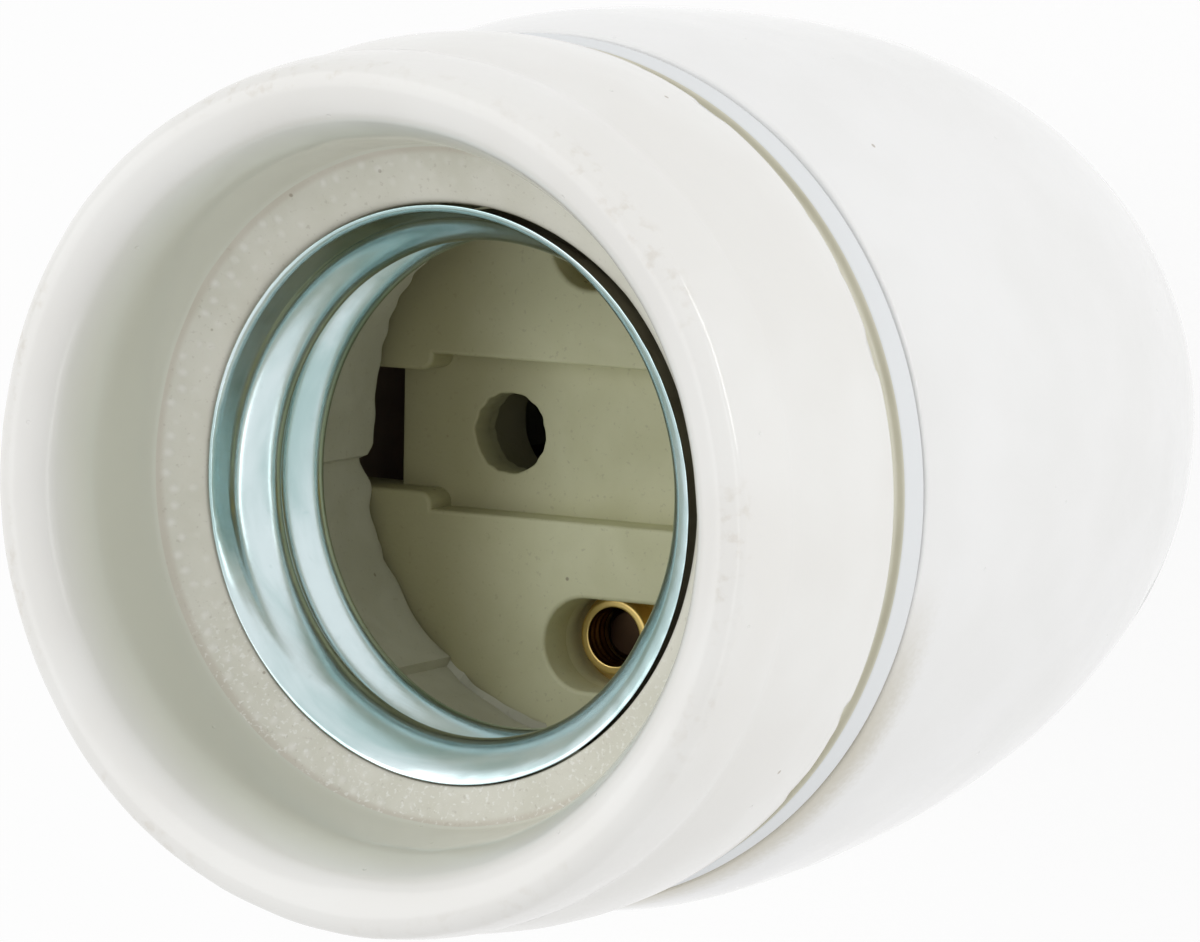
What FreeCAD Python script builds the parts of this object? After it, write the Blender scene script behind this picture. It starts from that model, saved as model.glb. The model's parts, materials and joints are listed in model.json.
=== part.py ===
import FreeCAD, Part
import math
import os

import Sketcher
from FreeCAD import Placement, Rotation, Vector

# Two-part porcelain lamp holder for an E27 screw cap, in millimetres.
# The lamp axis is +Z and the mouth faces up. z = 0 is the flat end round the pipe entry.
# +X runs along the channel in the insert's face, and +Y across it.

os.makedirs("parts", exist_ok=True)
doc = FreeCAD.newDocument("lamp_holder")

# ---------------------------------------------------------------- driving dimensions

DIMENSIONS = (
    # front ring: lip, bowl and the collar that screws into the dome
    ("lip_height", 62.73, "crest of the lip above the entry end"),
    ("lip_crest_r", 20.03, "radius of the lip's crest"),
    ("lip_out_r", 21.07, "radius where the rounded crest meets the lip's outside"),
    ("lip_out_z", 61.93, "height of that point"),
    ("ring_shoulder_z", 57.95, "height of the ring's shoulder under the lip"),
    ("ring_shoulder_r", 21.36, "outer radius under the lip"),
    ("ring_belly_r", 21.94, "outer radius at half height of the skirt"),
    ("ring_r", 21.7, "outer radius at the ring's rear edge"),
    ("lip_round_r", 21.33, "point halfway down the lip's outside"),
    ("lip_round_z", 60.4, "height of that point"),
    ("ring_rear_z", 48.6, "height of the ring's rear edge"),
    ("ring_edge", 0.35, "bevel of the unglazed rear edge"),
    ("crease_r", 17.15, "radius where the flared lip meets the bowl wall"),
    ("crease_z", 59.5, "height of that crease"),
    ("flare_r", 18.08, "radius where the flared inside meets the rounded crest"),
    ("flare_z", 61.49, "height of that point"),
    ("bowl_r", 16.65, "radius of the bowl wall's foot"),
    ("bowl_z", 55.1, "height of the bowl wall's foot"),
    ("bore_r", 14.4, "bore that takes the threaded shell, out of centre as the shell is"),
    ("annulus_z", 53.49, "height that the sloping annulus would reach at the collar's wall"),
    ("seat_z", 46.44, "height of the ledge under the shell"),
    ("collar_r", 17.1, "outside of the collar"),
    ("collar_wall_r", 13.35, "inside of the collar behind the shell"),
    ("collar_end_z", 39.68, "rear end of the collar"),
    ("collar_lead", 0.5, "bevel that leads the collar into the dome"),
    ("step_depth", 0.4, "depth of each step round the collar's inner wall"),
    ("step_start", 3.0, "angle at which the shallow step begins, from +X"),
    ("step_change", 51.0, "angle at which the deep step follows it"),
    ("step_end", 95.0, "angle at which the deep step ends"),
    ("step_top", 6.3, "height of the stepped wall"),
    ("cut_past", 1.0, "how far a cut runs past the piece that it cuts"),
    # threaded shell: sheet metal with the E27 round thread rolled in
    ("rim_z", 54.6, "centre of the shell's rim"),
    ("rim_r", 14.2, "outside of the flared rim"),
    ("sheet", 0.35, "thickness of the shell's sheet"),
    ("shell_length", 7.5, "length of the shell"),
    ("shell_flare", 1.5, "depth over which its rim turns into the thread"),
    ("shell_flare_dip", 0.5, "how much narrower the flare is at that depth"),
    ("thread_pitch", 3.629, "pitch of the E27 thread, 7 to the inch"),
    ("thread_mean_r", 12.82, "mean inner radius of the rolled thread"),
    ("thread_wave", 0.58, "half the depth of the rolled thread"),
    ("thread_start", 2.2, "depth of the first crest on the -X side"),
    ("shell_lean", 2.8, "angle by which the shell sits crooked in its bore"),
    ("shell_lean_way", 194.0, "direction in which its mouth leans"),
    ("shell_shift_x", -0.1, "sideways shift of its rim"),
    ("shell_shift_y", -0.45, "shift of its rim across the channel"),
    # seal ring between the ring and the dome
    ("seal_r", 21.4, "outside of the seal ring"),
    ("seal_bore_r", 17.5, "inside of the seal ring"),
    ("seal_edge", 0.25, "bevel of its outer edges"),
    ("seal_gap", 0.08, "air on each side of the seal ring"),
    # rear dome
    ("mouth_z", 45.7, "rim of the dome's mouth"),
    ("mouth_r", 21.75, "outside of the dome's mouth"),
    ("shoulder_r", 22.4, "outside of the dome between mouth and widest part"),
    ("shoulder_z", 42.5, "height of that point"),
    ("dome_r", 22.57, "widest radius of the dome"),
    ("dome_z", 40.0, "height of the widest part"),
    ("flank_r", 20.9, "radius where the flank begins to curve in"),
    ("flank_z", 20.0, "height of that point"),
    ("hip_r", 16.7, "radius where the end begins to round over"),
    ("hip_z", 6.9, "height of that point"),
    ("end_r", 11.2, "radius where the round meets the end"),
    ("end_z", 0.45, "height of that point"),
    ("foot_r", 10.7, "radius of the flat end"),
    ("dome_bore_r", 17.18, "bore that takes the collar"),
    ("relief_z", 39.3, "rear end of that bore"),
    ("relief_lead", 0.7, "height of the slant between that bore and the room"),
    ("room_r", 17.9, "wiring room behind the bore"),
    ("room_z", 33.0, "height where the room begins to narrow"),
    ("room_flank_r", 15.9, "radius of the room at the flank"),
    ("room_flank_z", 18.0, "height of that point"),
    ("room_hip_r", 13.9, "radius where the room narrows towards its floor"),
    ("room_hip_z", 10.1, "height of that point"),
    ("room_floor_r", 9.8, "radius of the room's floor"),
    ("room_floor_z", 5.6, "height of the room's floor"),
    ("rib_r", 14.9, "inner face of the ribs that carry the insert"),
    ("rib_width", 4.6, "width of a carrying rib"),
    ("rib_root", 0.4, "how deep a rib is rooted in the wall"),
    ("rib_root_z", 16.0, "lower end of the ribs"),
    ("key_r", 15.6, "inner face of the two key ribs"),
    ("key_width", 4.4, "width of a key rib"),
    ("key_top_z", 38.6, "top of the key ribs"),
    # insert
    ("face_z", 39.6, "face of the insert"),
    ("flange_z", 36.0, "underside of the insert's flange"),
    ("flange_r", 16.5, "radius of the insert's flange"),
    ("block_r", 14.4, "radius of the insert's block"),
    ("block_z", 31.0, "rear of the insert's block"),
    ("insert_edge", 0.3, "bevel of the insert's edges"),
    ("insert_shift", 0.62, "how far the loose insert sits off the axis, along +Y"),
    ("channel_half", 3.97, "half width of the channel"),
    ("channel_depth", 2.0, "depth of the channel"),
    ("nib_x", 10.15, "start of the nibs that narrow the channel's ends"),
    ("nib_half", 3.08, "half width between two nibs"),
    ("nib_round", 0.75, "rounding of a nib"),
    ("notch_x", 13.1, "inner edge of the through notches"),
    ("rivet_hole_x", 6.7, "distance of the channel's two holes from the centre"),
    ("rivet_hole_r", 2.05, "radius of those holes"),
    ("slot_x", -0.95, "centre of a terminal slot's round end"),
    ("slot_end_x", 4.6, "centre of its other end"),
    ("slot_y", 10.15, "distance of the slots from the centre line"),
    ("slot_r", 2.35, "half width of a slot"),
    # brass terminals
    ("plate_top_z", 35.6, "front of the terminal plates"),
    ("plate_sheet", 1.0, "thickness of the terminal plates"),
    ("plate_gap", 0.25, "air round a plate in its recess"),
    ("plate_left_x", -4.2, "left edge of the plates"),
    ("plate_right_x", 11.2, "right edge of the plates"),
    ("plate_near_y", 7.2, "edge of the plates next to the channel"),
    ("plate_far_y", 13.2, "outer edge of the plates"),
    ("plate_hip_y", 9.0, "where the outer corner begins to slant"),
    ("plate_waist_x", 5.2, "where that slant ends"),
    ("feed_arm_x", 10.0, "left edge of the arm to the side contact"),
    ("feed_arm_end_x", 12.9, "its right edge"),
    ("dead_arm_x", 4.9, "left edge of the arm under the channel's hole"),
    ("dead_arm_end_x", 8.4, "its right edge"),
    ("arm_reach", 2.3, "reach of both arms across the centre line"),
    ("core_hole_r", 1.3, "hole in that arm, under the channel's hole"),
    ("eyelet_x", -0.75, "centre of the drawn eyelet"),
    ("eyelet_y", 10.0, "distance of the eyelets from the centre line"),
    ("eyelet_r", 1.95, "outside of an eyelet"),
    ("eyelet_bore_r", 1.5, "bore of an eyelet"),
    ("eyelet_z", 37.0, "top of an eyelet"),
    ("screw_r", 1.45, "radius of a clamp screw's shank"),
    ("screw_tip_z", 35.4, "tip of a clamp screw"),
    ("head_r", 2.75, "radius of a clamp screw's head"),
    ("head_height", 1.8, "height of a clamp screw's head"),
    ("screw_bevel", 0.35, "bevel of a screw's head and tip"),
    ("clamp_half", 2.9, "half width of a clamp washer"),
    ("clamp_sheet", 0.8, "thickness of a clamp washer"),
    ("rivet_x", 8.8, "place of a plate rivet along the channel"),
    ("rivet_y", 8.9, "distance of a plate rivet from the centre line"),
    ("rivet_r", 0.75, "radius of a plate rivet"),
    ("rivet_head_r", 1.35, "radius of its heads"),
    ("rivet_head", 0.5, "height of its heads"),
    ("rivet_crown", 0.6, "share of a head's radius that is flat on top"),
    ("rivet_rim", 0.4, "share of a head's height that is straight at its rim"),
    ("rivet_sink", 0.7, "depth of its front head below the face"),
    ("fit", 0.05, "air round a rivet or screw in its hole"),
    ("play", 0.1, "air where a piece is loose"),
    ("slot_cut", 0.8, "width of a screwdriver slot"),
    ("slot_deep", 0.9, "depth of a screwdriver slot"),
    # side contact spring
    ("spring_sheet", 0.4, "thickness of the contact spring"),
    ("spring_half", 1.9, "half width of the contact spring"),
    ("spring_x", 13.25, "where the spring rises through the notch"),
    ("spring_knee_z", 37.2, "where the spring leans in towards the lamp cap"),
    ("spring_tip_x", 11.6, "contact point of the spring"),
    ("spring_tip_z", 42.8, "height of the contact point"),
    ("spring_end_z", 45.0, "end of the spring"),
    ("spring_flick", 0.32, "how far the spring's end leans back out"),
    ("spring_bend", 0.5, "radius of the bend at its foot"),
    ("spring_foot", 1.4, "how far the foot reaches past its rivet"),
    ("spring_rivet_x", 11.6, "rivet through the spring's foot"),
    ("spring_rivet_r", 0.8, "radius of that rivet"),
    ("spring_rivet_head_r", 1.36, "radius of its heads"),
    # pipe entry
    ("entry_r", 4.46, "minor radius of the M10x1 thread"),
    ("entry_lead", 0.6, "countersink at the thread's mouth"),
    ("bush_r", 6.1, "outside of the entry bush"),
    ("bush_flange_r", 7.9, "flange of the entry bush"),
    ("bush_flange", 1.1, "thickness of that flange"),
    ("bush_inset", 0.1, "depth of the flange under the dome's end"),
    ("bush_top_z", 14.2, "inner end of the entry bush"),
    ("bush_play", 0.1, "air round the bush in the dome"),
    ("washer_r", 9.0, "radius of the bush's washer"),
    ("washer_sheet", 0.8, "thickness of the bush's washer"),
    ("nut_flats", 15.0, "width of the bush nut across its flats"),
    ("nut_height", 2.8, "height of the bush nut"),
    ("lock_z", 11.7, "height of the pipe lock screw"),
    ("lock_r", 1.45, "radius of the pipe lock screw"),
    ("lock_length", 4.6, "length of the pipe lock screw"),
    ("lock_slot", 0.48, "width of its screwdriver slot"),
)


class Size:
    """A number together with the sheet expression that gives it."""

    def __init__(self, value, text):
        self.value = value
        self.text = text

    @staticmethod
    def of(thing):
        return thing if isinstance(thing, Size) else Size(float(thing), repr(thing))

    def __add__(self, other):
        other = Size.of(other)
        return Size(self.value + other.value, f"({self.text} + {other.text})")

    def __sub__(self, other):
        other = Size.of(other)
        return Size(self.value - other.value, f"({self.text} - {other.text})")

    def __mul__(self, other):
        other = Size.of(other)
        return Size(self.value * other.value, f"({self.text} * {other.text})")

    def __neg__(self):
        return self * -1

    def turned(self, degrees):
        """The X and Y of a point this far from the centre, at an angle."""
        angle = math.radians(degrees)
        return self * round(math.cos(angle), 9), self * round(math.sin(angle), 9)


class Dimensions:
    """The spreadsheet, read by name: dims.lip_height is a Size."""

    def __init__(self, rows):
        self.table = doc.addObject("Spreadsheet::Sheet", "Dims")
        for row, (name, value, note) in enumerate(rows, start=1):
            self.table.set(f"A{row}", note)
            self.table.set(f"B{row}", str(value))
            self.table.setAlias(f"B{row}", name)
            setattr(self, name, Size(value, f"Dims.{name}"))


dims = Dimensions(DIMENSIONS)
doc.recompute()
nodes = []

# ---------------------------------------------------------------- drawing helpers


def bind(thing, prop, size):
    """Give a property its value and, where it has one, its sheet expression."""
    size = Size.of(size)
    thing.setExpression(prop, size.text)


def new_body(name):
    body = doc.addObject("PartDesign::Body", name)
    body.Label = name
    nodes.append(body)
    return body


def new_sketch(body, plane, height=0.0):
    """A sketch on one of the body's own origin planes, lifted by a height."""
    sketch = body.newObject("Sketcher::SketchObject", body.Name + "_sketch")
    support = [f for f in body.Origin.OriginFeatures if f.Role == plane + "_Plane"][0]
    sketch.AttachmentSupport = (support, [""])
    sketch.MapMode = "FlatFace"
    bind(sketch, ".AttachmentOffset.Base.z", height)
    return sketch


def pin(sketch, element, point, x, y):
    """Hold one point of a sketch element at x, y."""
    for kind, axis, size in (("DistanceX", -2, Size.of(x)), ("DistanceY", -1, Size.of(y))):
        if abs(size.value) < 1e-9:
            sketch.addConstraint(Sketcher.Constraint("PointOnObject", element, point, axis))
            continue
        index = sketch.addConstraint(
            Sketcher.Constraint(kind, -1, 1, element, point, size.value))
        sketch.setExpression(f"Constraints[{index}]", size.text)


def spot(x, y):
    return Vector(Size.of(x).value, Size.of(y).value, 0)


class Outline:
    """One closed outline of lines and arcs, fully held by its corners."""

    def __init__(self, sketch, x, y):
        self.sketch = sketch
        self.start = (x, y)
        self.here = (x, y)
        self.first = None
        self.last = None
        self.heading = None

    def _join(self, shape, x, y, closing=False, link="Coincident"):
        sketch = self.sketch
        element = sketch.addGeometry(shape, False)
        here = spot(*self.here)
        near = 1 if (sketch.getPoint(element, 1) - here).Length < 1e-4 else 2
        far = 3 - near
        if self.last is None:
            self.first = (element, near)
            pin(sketch, element, near, *self.here)
        else:
            sketch.addConstraint(Sketcher.Constraint(link, *self.last, element, near))
        self.last = (element, far)
        self.here = (x, y)
        if closing:
            sketch.addConstraint(Sketcher.Constraint("Coincident", *self.last, *self.first))
        else:
            pin(sketch, element, far, x, y)
        return element

    def line(self, x, y, closing=False):
        there = spot(x, y)
        self.heading = (there - spot(*self.here)).normalize()
        self._join(Part.LineSegment(spot(*self.here), there), x, y, closing)
        return self

    def arc(self, via_x, via_y, x, y, closing=False):
        """An arc through a point on the way."""
        start, via, there = spot(*self.here), spot(via_x, via_y), spot(x, y)
        curve = Part.ArcOfCircle(start, via, there)
        along = there - curve.Center
        self.heading = Vector(-along.y, along.x, 0).normalize()
        turn = (via - start).cross(there - via).z
        if turn < 0:
            self.heading = -self.heading
        element = self._join(curve, x, y, closing)
        point = self.sketch.addGeometry(Part.Point(via), True)
        pin(self.sketch, point, 1, via_x, via_y)
        self.sketch.addConstraint(Sketcher.Constraint("PointOnObject", point, 1, element))
        return self

    def smooth(self, x, y):
        """An arc that carries on in the direction of what comes before."""
        start, there = spot(*self.here), spot(x, y)
        chord = there - start
        side = Vector(-self.heading.y, self.heading.x, 0)
        radius = chord.Length ** 2 / (2 * chord.dot(side))
        centre = start + side * radius
        middle = (start + there) * 0.5 - centre
        via = centre + middle.normalize() * abs(radius)
        along = there - centre
        turn = 1 if radius > 0 else -1
        self._join(Part.ArcOfCircle(start, via, there), x, y, link="Tangent")
        self.heading = Vector(-along.y * turn, along.x * turn, 0).normalize()
        return self

    def close(self):
        """A last line back to the first corner."""
        return self.line(*self.start, closing=True)


def outline(sketch, corners):
    """A closed outline of straight lines."""
    path = Outline(sketch, *corners[0])
    for corner in corners[1:]:
        path.line(*corner)
    path.close()


def circle(sketch, x, y, radius):
    """A circle held by its centre and radius."""
    size = Size.of(radius)
    element = sketch.addGeometry(
        Part.Circle(spot(x, y), Vector(0, 0, 1), size.value), False)
    pin(sketch, element, 3, x, y)
    index = sketch.addConstraint(Sketcher.Constraint("Radius", element, size.value))
    sketch.setExpression(f"Constraints[{index}]", size.text)


def revolve(body, sketch, kind="Revolution", angle=360.0):
    doc.recompute()
    feature = body.newObject("PartDesign::" + kind, body.Name + "_turned")
    feature.Profile = sketch
    feature.ReferenceAxis = (sketch, ["V_Axis"])
    feature.Angle = angle
    doc.recompute()
    return feature


def extrude(body, sketch, length, kind="Pad", reverse=False, midplane=False):
    """A pad or a pocket. A pocket that removes nothing is an error."""
    doc.recompute()
    before = body.Shape.Volume if not body.Shape.isNull() else 0.0
    feature = body.newObject("PartDesign::" + kind, body.Name + "_" + kind.lower())
    feature.Profile = sketch
    bind(feature, "Length", length)
    feature.Reversed = reverse
    feature.Midplane = midplane
    doc.recompute()
    change = body.Shape.Volume - before
    if (change > 0) != (kind == "Pad") or abs(change) < 1e-4:
        raise RuntimeError(f"{feature.Name} changes the volume by {change:.4f}")
    return feature


def pattern(body, feature, sketch, count):
    """Repeat a feature round the body's axis."""
    polar = body.newObject("PartDesign::PolarPattern", body.Name + "_pattern")
    polar.Originals = [feature]
    polar.Axis = (sketch, ["N_Axis"])
    polar.Angle = 360
    polar.Occurrences = count
    body.Tip = polar
    doc.recompute()


def turned_piece(name, corners):
    """A body turned about Z from a half section of straight lines."""
    body = new_body(name)
    sketch = new_sketch(body, "XZ")
    outline(sketch, corners)
    revolve(body, sketch)
    return body


# ---------------------------------------------------------------- front ring


def add_step(body, start, end, depth):
    """Cut a shallow sector out of the collar's inner wall, between two angles."""
    inner = dims.collar_wall_r - dims.cut_past
    outer = dims.collar_wall_r + depth
    middle = (start + end) / 2
    sketch = new_sketch(body, "XY", dims.collar_end_z - dims.cut_past)
    path = Outline(sketch, *inner.turned(start))
    path.line(*outer.turned(start))
    path.arc(*outer.turned(middle), *outer.turned(end))
    path.line(*inner.turned(end))
    path.arc(*inner.turned(middle), *inner.turned(start), closing=True)
    extrude(body, sketch, dims.step_top + dims.cut_past, "Pocket", reverse=True)


def make_front_ring():
    body = new_body("front_ring")
    sketch = new_sketch(body, "XZ")
    d = dims
    path = Outline(sketch, d.collar_wall_r, d.annulus_z)
    path.line(d.bowl_r, d.bowl_z)
    path.line(d.crease_r, d.crease_z)
    path.line(d.flare_r, d.flare_z)
    path.smooth(d.lip_crest_r, d.lip_height)
    path.smooth(d.lip_out_r, d.lip_out_z)
    path.arc(d.lip_round_r, d.lip_round_z, d.ring_shoulder_r, d.ring_shoulder_z)
    belly_z = (d.ring_shoulder_z + d.ring_rear_z) * 0.5
    path.arc(d.ring_belly_r, belly_z, d.ring_r, d.ring_rear_z + d.ring_edge)
    path.line(d.ring_r - d.ring_edge, d.ring_rear_z)
    path.line(d.collar_r, d.ring_rear_z)
    path.line(d.collar_r, d.collar_end_z + d.collar_lead)
    path.line(d.collar_r - d.collar_lead, d.collar_end_z)
    path.line(d.collar_wall_r, d.collar_end_z)
    path.close()
    revolve(body, sketch)
    sketch = new_sketch(body, "XY", d.bowl_z)
    circle(sketch, d.shell_shift_x, d.shell_shift_y, d.bore_r)
    extrude(body, sketch, d.bowl_z - d.seat_z, "Pocket")
    start, change, end = d.step_start.value, d.step_change.value, d.step_end.value
    for half_turn in (0, 180):
        add_step(body, start + half_turn, change + half_turn, d.step_depth)
        add_step(body, change + half_turn, end + half_turn, d.step_depth * 2)
    return body


# ---------------------------------------------------------------- threaded shell


def shell_radius(angle, depth):
    """Inner radius of the shell at an angle and a depth below its rim."""
    d = dims
    crest = d.thread_start.value - d.thread_pitch.value * (angle - math.pi) / (2 * math.pi)
    phase = 2 * math.pi * (depth - crest) / d.thread_pitch.value
    thread = d.thread_mean_r.value - d.thread_wave.value * math.cos(phase)
    rim = d.rim_r.value - d.sheet.value
    if depth >= d.shell_flare.value:
        return thread
    share = depth / d.shell_flare.value
    flare = rim - d.shell_flare_dip.value * share ** 0.6
    ease = share * share * (3 - 2 * share)
    return flare * (1 - ease) + thread * ease


def shell_face(offset, spokes=32, levels=22):
    """The shell's inner surface, moved out by an offset."""
    grid = []
    for spoke in range(spokes + 1):
        angle = 2 * math.pi * (spoke % spokes) / spokes
        row = []
        for level in range(levels + 1):
            depth = dims.shell_length.value * level / levels
            radius = shell_radius(angle, depth) + offset
            row.append(Vector(radius * math.cos(angle), radius * math.sin(angle), -depth))
        grid.append(row)
    surface = Part.BSplineSurface()
    surface.interpolate(grid)
    return surface.toShape()


def edge_at(face, depth):
    """The edge of a shell face that runs round at one depth."""
    return [edge for edge in face.Edges
            if abs(edge.BoundBox.ZMin + depth) < 1e-3 and abs(edge.BoundBox.ZMax + depth) < 1e-3][0]


def make_threaded_shell():
    """Rolled sheet: no feature makes a helical thread that runs out into a flare."""
    shell = doc.addObject("Part::Feature", "threaded_shell")
    shell.Label = "threaded_shell"
    inside, outside = shell_face(0.0), shell_face(dims.sheet.value)
    rims = [Part.makeRuledSurface(edge_at(inside, depth), edge_at(outside, depth))
            for depth in (0.0, dims.shell_length.value)]
    skin = Part.makeShell([inside, outside] + rims)
    skin.sewShape()
    shell.Shape = Part.makeSolid(Part.Shell(skin.Faces))
    way = math.radians(dims.shell_lean_way.value)
    lean_axis = Vector(-math.sin(way), math.cos(way), 0)
    shell.Placement = Placement(
        Vector(dims.shell_shift_x.value, dims.shell_shift_y.value, dims.rim_z.value),
        Rotation(lean_axis, dims.shell_lean.value))
    nodes.append(shell)
    return shell


# ---------------------------------------------------------------- seal ring and dome


def make_seal_ring():
    d = dims
    low, high = d.mouth_z + d.seal_gap, d.ring_rear_z - d.seal_gap
    return turned_piece("seal_ring", (
        (d.seal_bore_r, low), (d.seal_r - d.seal_edge, low), (d.seal_r, low + d.seal_edge),
        (d.seal_r, high - d.seal_edge), (d.seal_r - d.seal_edge, high), (d.seal_bore_r, high)))


def make_rear_dome():
    body = new_body("rear_dome")
    sketch = new_sketch(body, "XZ")
    d = dims
    recess_r = d.bush_flange_r + d.bush_play
    recess_z = d.bush_inset + d.bush_flange
    path = Outline(sketch, d.dome_bore_r, d.mouth_z)
    path.line(d.mouth_r, d.mouth_z)
    path.arc(d.shoulder_r, d.shoulder_z, d.dome_r, d.dome_z)
    path.smooth(d.flank_r, d.flank_z)
    path.smooth(d.hip_r, d.hip_z)
    path.smooth(d.end_r, d.end_z)
    path.line(d.foot_r, 0)
    path.line(recess_r, 0)
    path.line(recess_r, recess_z)
    path.line(d.bush_r + d.bush_play, recess_z)
    path.line(d.bush_r + d.bush_play, d.room_floor_z)
    path.line(d.room_floor_r, d.room_floor_z)
    path.line(d.room_hip_r, d.room_hip_z)
    path.line(d.room_flank_r, d.room_flank_z)
    path.line(d.room_r, d.room_z)
    path.line(d.room_r, d.relief_z - d.relief_lead)
    path.line(d.dome_bore_r, d.relief_z)
    path.close()
    revolve(body, sketch)
    for name, reach, width, top, count, turn in (
            ("rib", d.rib_r, d.rib_width, d.flange_z, 4, 45),
            ("key", d.key_r, d.key_width, d.key_top_z, 2, 0)):
        sketch = new_sketch(body, "XY", d.rib_root_z)
        sketch.AttachmentOffset = Placement(
            Vector(0, 0, d.rib_root_z.value), Rotation(Vector(0, 0, 1), turn))
        bind(sketch, ".AttachmentOffset.Base.z", d.rib_root_z)
        back = d.room_r + d.rib_root
        outline(sketch, ((reach, width * -0.5), (back, width * -0.5),
                         (back, width * 0.5), (reach, width * 0.5)))
        rib = extrude(body, sketch, top - d.rib_root_z)
        rib.Label = "dome_" + name
        pattern(body, rib, sketch, count)
    return body


# ---------------------------------------------------------------- insert


def channel_outline(sketch):
    """The channel across the insert's face, narrowed near both ends by rounded nibs."""
    d = dims
    edge = d.flange_r + d.cut_past
    bend = d.nib_round * round(1 - math.sqrt(0.5), 6)
    path = Outline(sketch, -edge, -d.nib_half)
    for side in (-1, 1):
        # side -1 draws the lower edge from -X to +X, side +1 the upper edge back again
        for end in (side, -side):
            inner = d.nib_x * end
            round_x = (d.nib_x + d.nib_round) * end
            nib_y, wide_y = d.nib_half * side, d.channel_half * side
            round_y = (d.nib_half + d.nib_round) * side
            via = ((d.nib_x + bend) * end, (d.nib_half + bend) * side)
            if end == side:
                path.line(round_x, nib_y)
                path.arc(*via, inner, round_y)
                path.line(inner, wide_y)
            else:
                path.line(inner, wide_y)
                path.line(inner, round_y)
                path.arc(*via, round_x, nib_y)
        path.line(edge * -side, d.nib_half * side)
        if side == -1:
            path.line(edge, d.nib_half)
    return path


def slot_outline(sketch, side):
    """A terminal slot with two round ends."""
    d = dims
    y, low, high = d.slot_y * side, d.slot_y * side - d.slot_r, d.slot_y * side + d.slot_r
    path = Outline(sketch, d.slot_x, low)
    path.line(d.slot_end_x, low)
    path.arc(d.slot_end_x + d.slot_r, y, d.slot_end_x, high)
    path.line(d.slot_x, high)
    path.arc(d.slot_x - d.slot_r, y, d.slot_x, low, closing=True)


def plate_corners(side, gap):
    """Corners of a terminal plate, or of its recess when grown by a gap.

    Side -1 is the plate whose arm carries the side contact, side +1 the one whose arm
    ends under the channel's second hole.
    """
    d = dims
    arm_left, arm_right = (d.feed_arm_x, d.feed_arm_end_x) if side < 0 else (d.dead_arm_x, d.dead_arm_end_x)
    arm_y = -(d.arm_reach + gap)
    near, far = d.plate_near_y - gap, d.plate_far_y + gap
    left = d.plate_left_x - gap
    corners = [(left, near), (arm_left - gap, near), (arm_left - gap, arm_y),
               (arm_right + gap, arm_y), (arm_right + gap, near)]
    if side > 0:
        corners.append((d.plate_right_x + gap, near))
    corners += [(d.plate_right_x + gap, d.plate_hip_y + gap), (d.plate_waist_x + gap, far), (left, far)]
    return [(x, y * side) for x, y in corners]


def make_insert_block():
    d = dims
    body = turned_piece("insert_block", (
        (0, d.block_z), (d.block_r - d.insert_edge, d.block_z), (d.block_r, d.block_z + d.insert_edge),
        (d.block_r, d.flange_z), (d.flange_r, d.flange_z), (d.flange_r, d.face_z - d.insert_edge),
        (d.flange_r - d.insert_edge, d.face_z), (0, d.face_z)))
    thickness = d.face_z - d.block_z

    sketch = new_sketch(body, "XY", d.face_z)
    channel_outline(sketch).close()
    extrude(body, sketch, d.channel_depth, "Pocket")

    sketch = new_sketch(body, "XY", d.face_z)
    for end in (-1, 1):
        circle(sketch, d.rivet_hole_x * end, 0, d.rivet_hole_r)
        past = (d.flange_r + d.cut_past) * end
        outline(sketch, ((d.notch_x * end, -d.nib_half), (past, -d.nib_half),
                         (past, d.nib_half), (d.notch_x * end, d.nib_half)))
    for side in (-1, 1):
        circle(sketch, d.rivet_x, d.rivet_y * side, d.rivet_r + d.fit)
    extrude(body, sketch, thickness, "Pocket")

    sketch = new_sketch(body, "XY", d.face_z)
    for side in (-1, 1):
        slot_outline(sketch, side)
    extrude(body, sketch, d.face_z - d.plate_top_z, "Pocket")

    sketch = new_sketch(body, "XY", d.face_z)
    for side in (-1, 1):
        circle(sketch, d.rivet_x, d.rivet_y * side, d.rivet_head_r + d.plate_gap)
    extrude(body, sketch, d.rivet_sink, "Pocket")

    sketch = new_sketch(body, "XY", d.block_z)
    for side in (-1, 1):
        outline(sketch, plate_corners(side, d.plate_gap))
    extrude(body, sketch, d.plate_top_z - d.block_z, "Pocket", reverse=True)

    sketch = new_sketch(body, "XY", d.plate_top_z)
    circle(sketch, d.spring_rivet_x, 0, d.spring_rivet_head_r + d.plate_gap)
    extrude(body, sketch, d.rivet_head + d.play, "Pocket", reverse=True)
    return body


# ---------------------------------------------------------------- terminals and fixings


def make_terminal(name, side):
    """A brass plate with a drawn eyelet for the clamp screw."""
    d = dims
    body = new_body(name)
    sketch = new_sketch(body, "XY", d.plate_top_z - d.plate_sheet)
    outline(sketch, plate_corners(side, Size(0.0, "0")))
    extrude(body, sketch, d.plate_sheet)
    sketch = new_sketch(body, "XY", d.plate_top_z - d.plate_sheet * 0.5)
    circle(sketch, d.eyelet_x, d.eyelet_y * side, d.eyelet_r)
    extrude(body, sketch, d.eyelet_z - d.plate_top_z + d.plate_sheet * 0.5)
    sketch = new_sketch(body, "XY", d.eyelet_z)
    circle(sketch, d.eyelet_x, d.eyelet_y * side, d.eyelet_bore_r)
    circle(sketch, d.rivet_x, d.rivet_y * side, d.rivet_r + d.fit)
    if side > 0:
        circle(sketch, d.rivet_hole_x, 0, d.core_hole_r)
    else:
        circle(sketch, d.spring_rivet_x, 0, d.spring_rivet_r + d.fit)
    extrude(body, sketch, d.eyelet_z - d.plate_top_z + d.plate_sheet, "Pocket")
    return body


def place_on(body, x, y, z=0.0):
    """Move a piece that is drawn on its own axis to its seat."""
    bind(body, ".Placement.Base.x", x)
    bind(body, ".Placement.Base.y", y)
    bind(body, ".Placement.Base.z", z)


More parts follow.
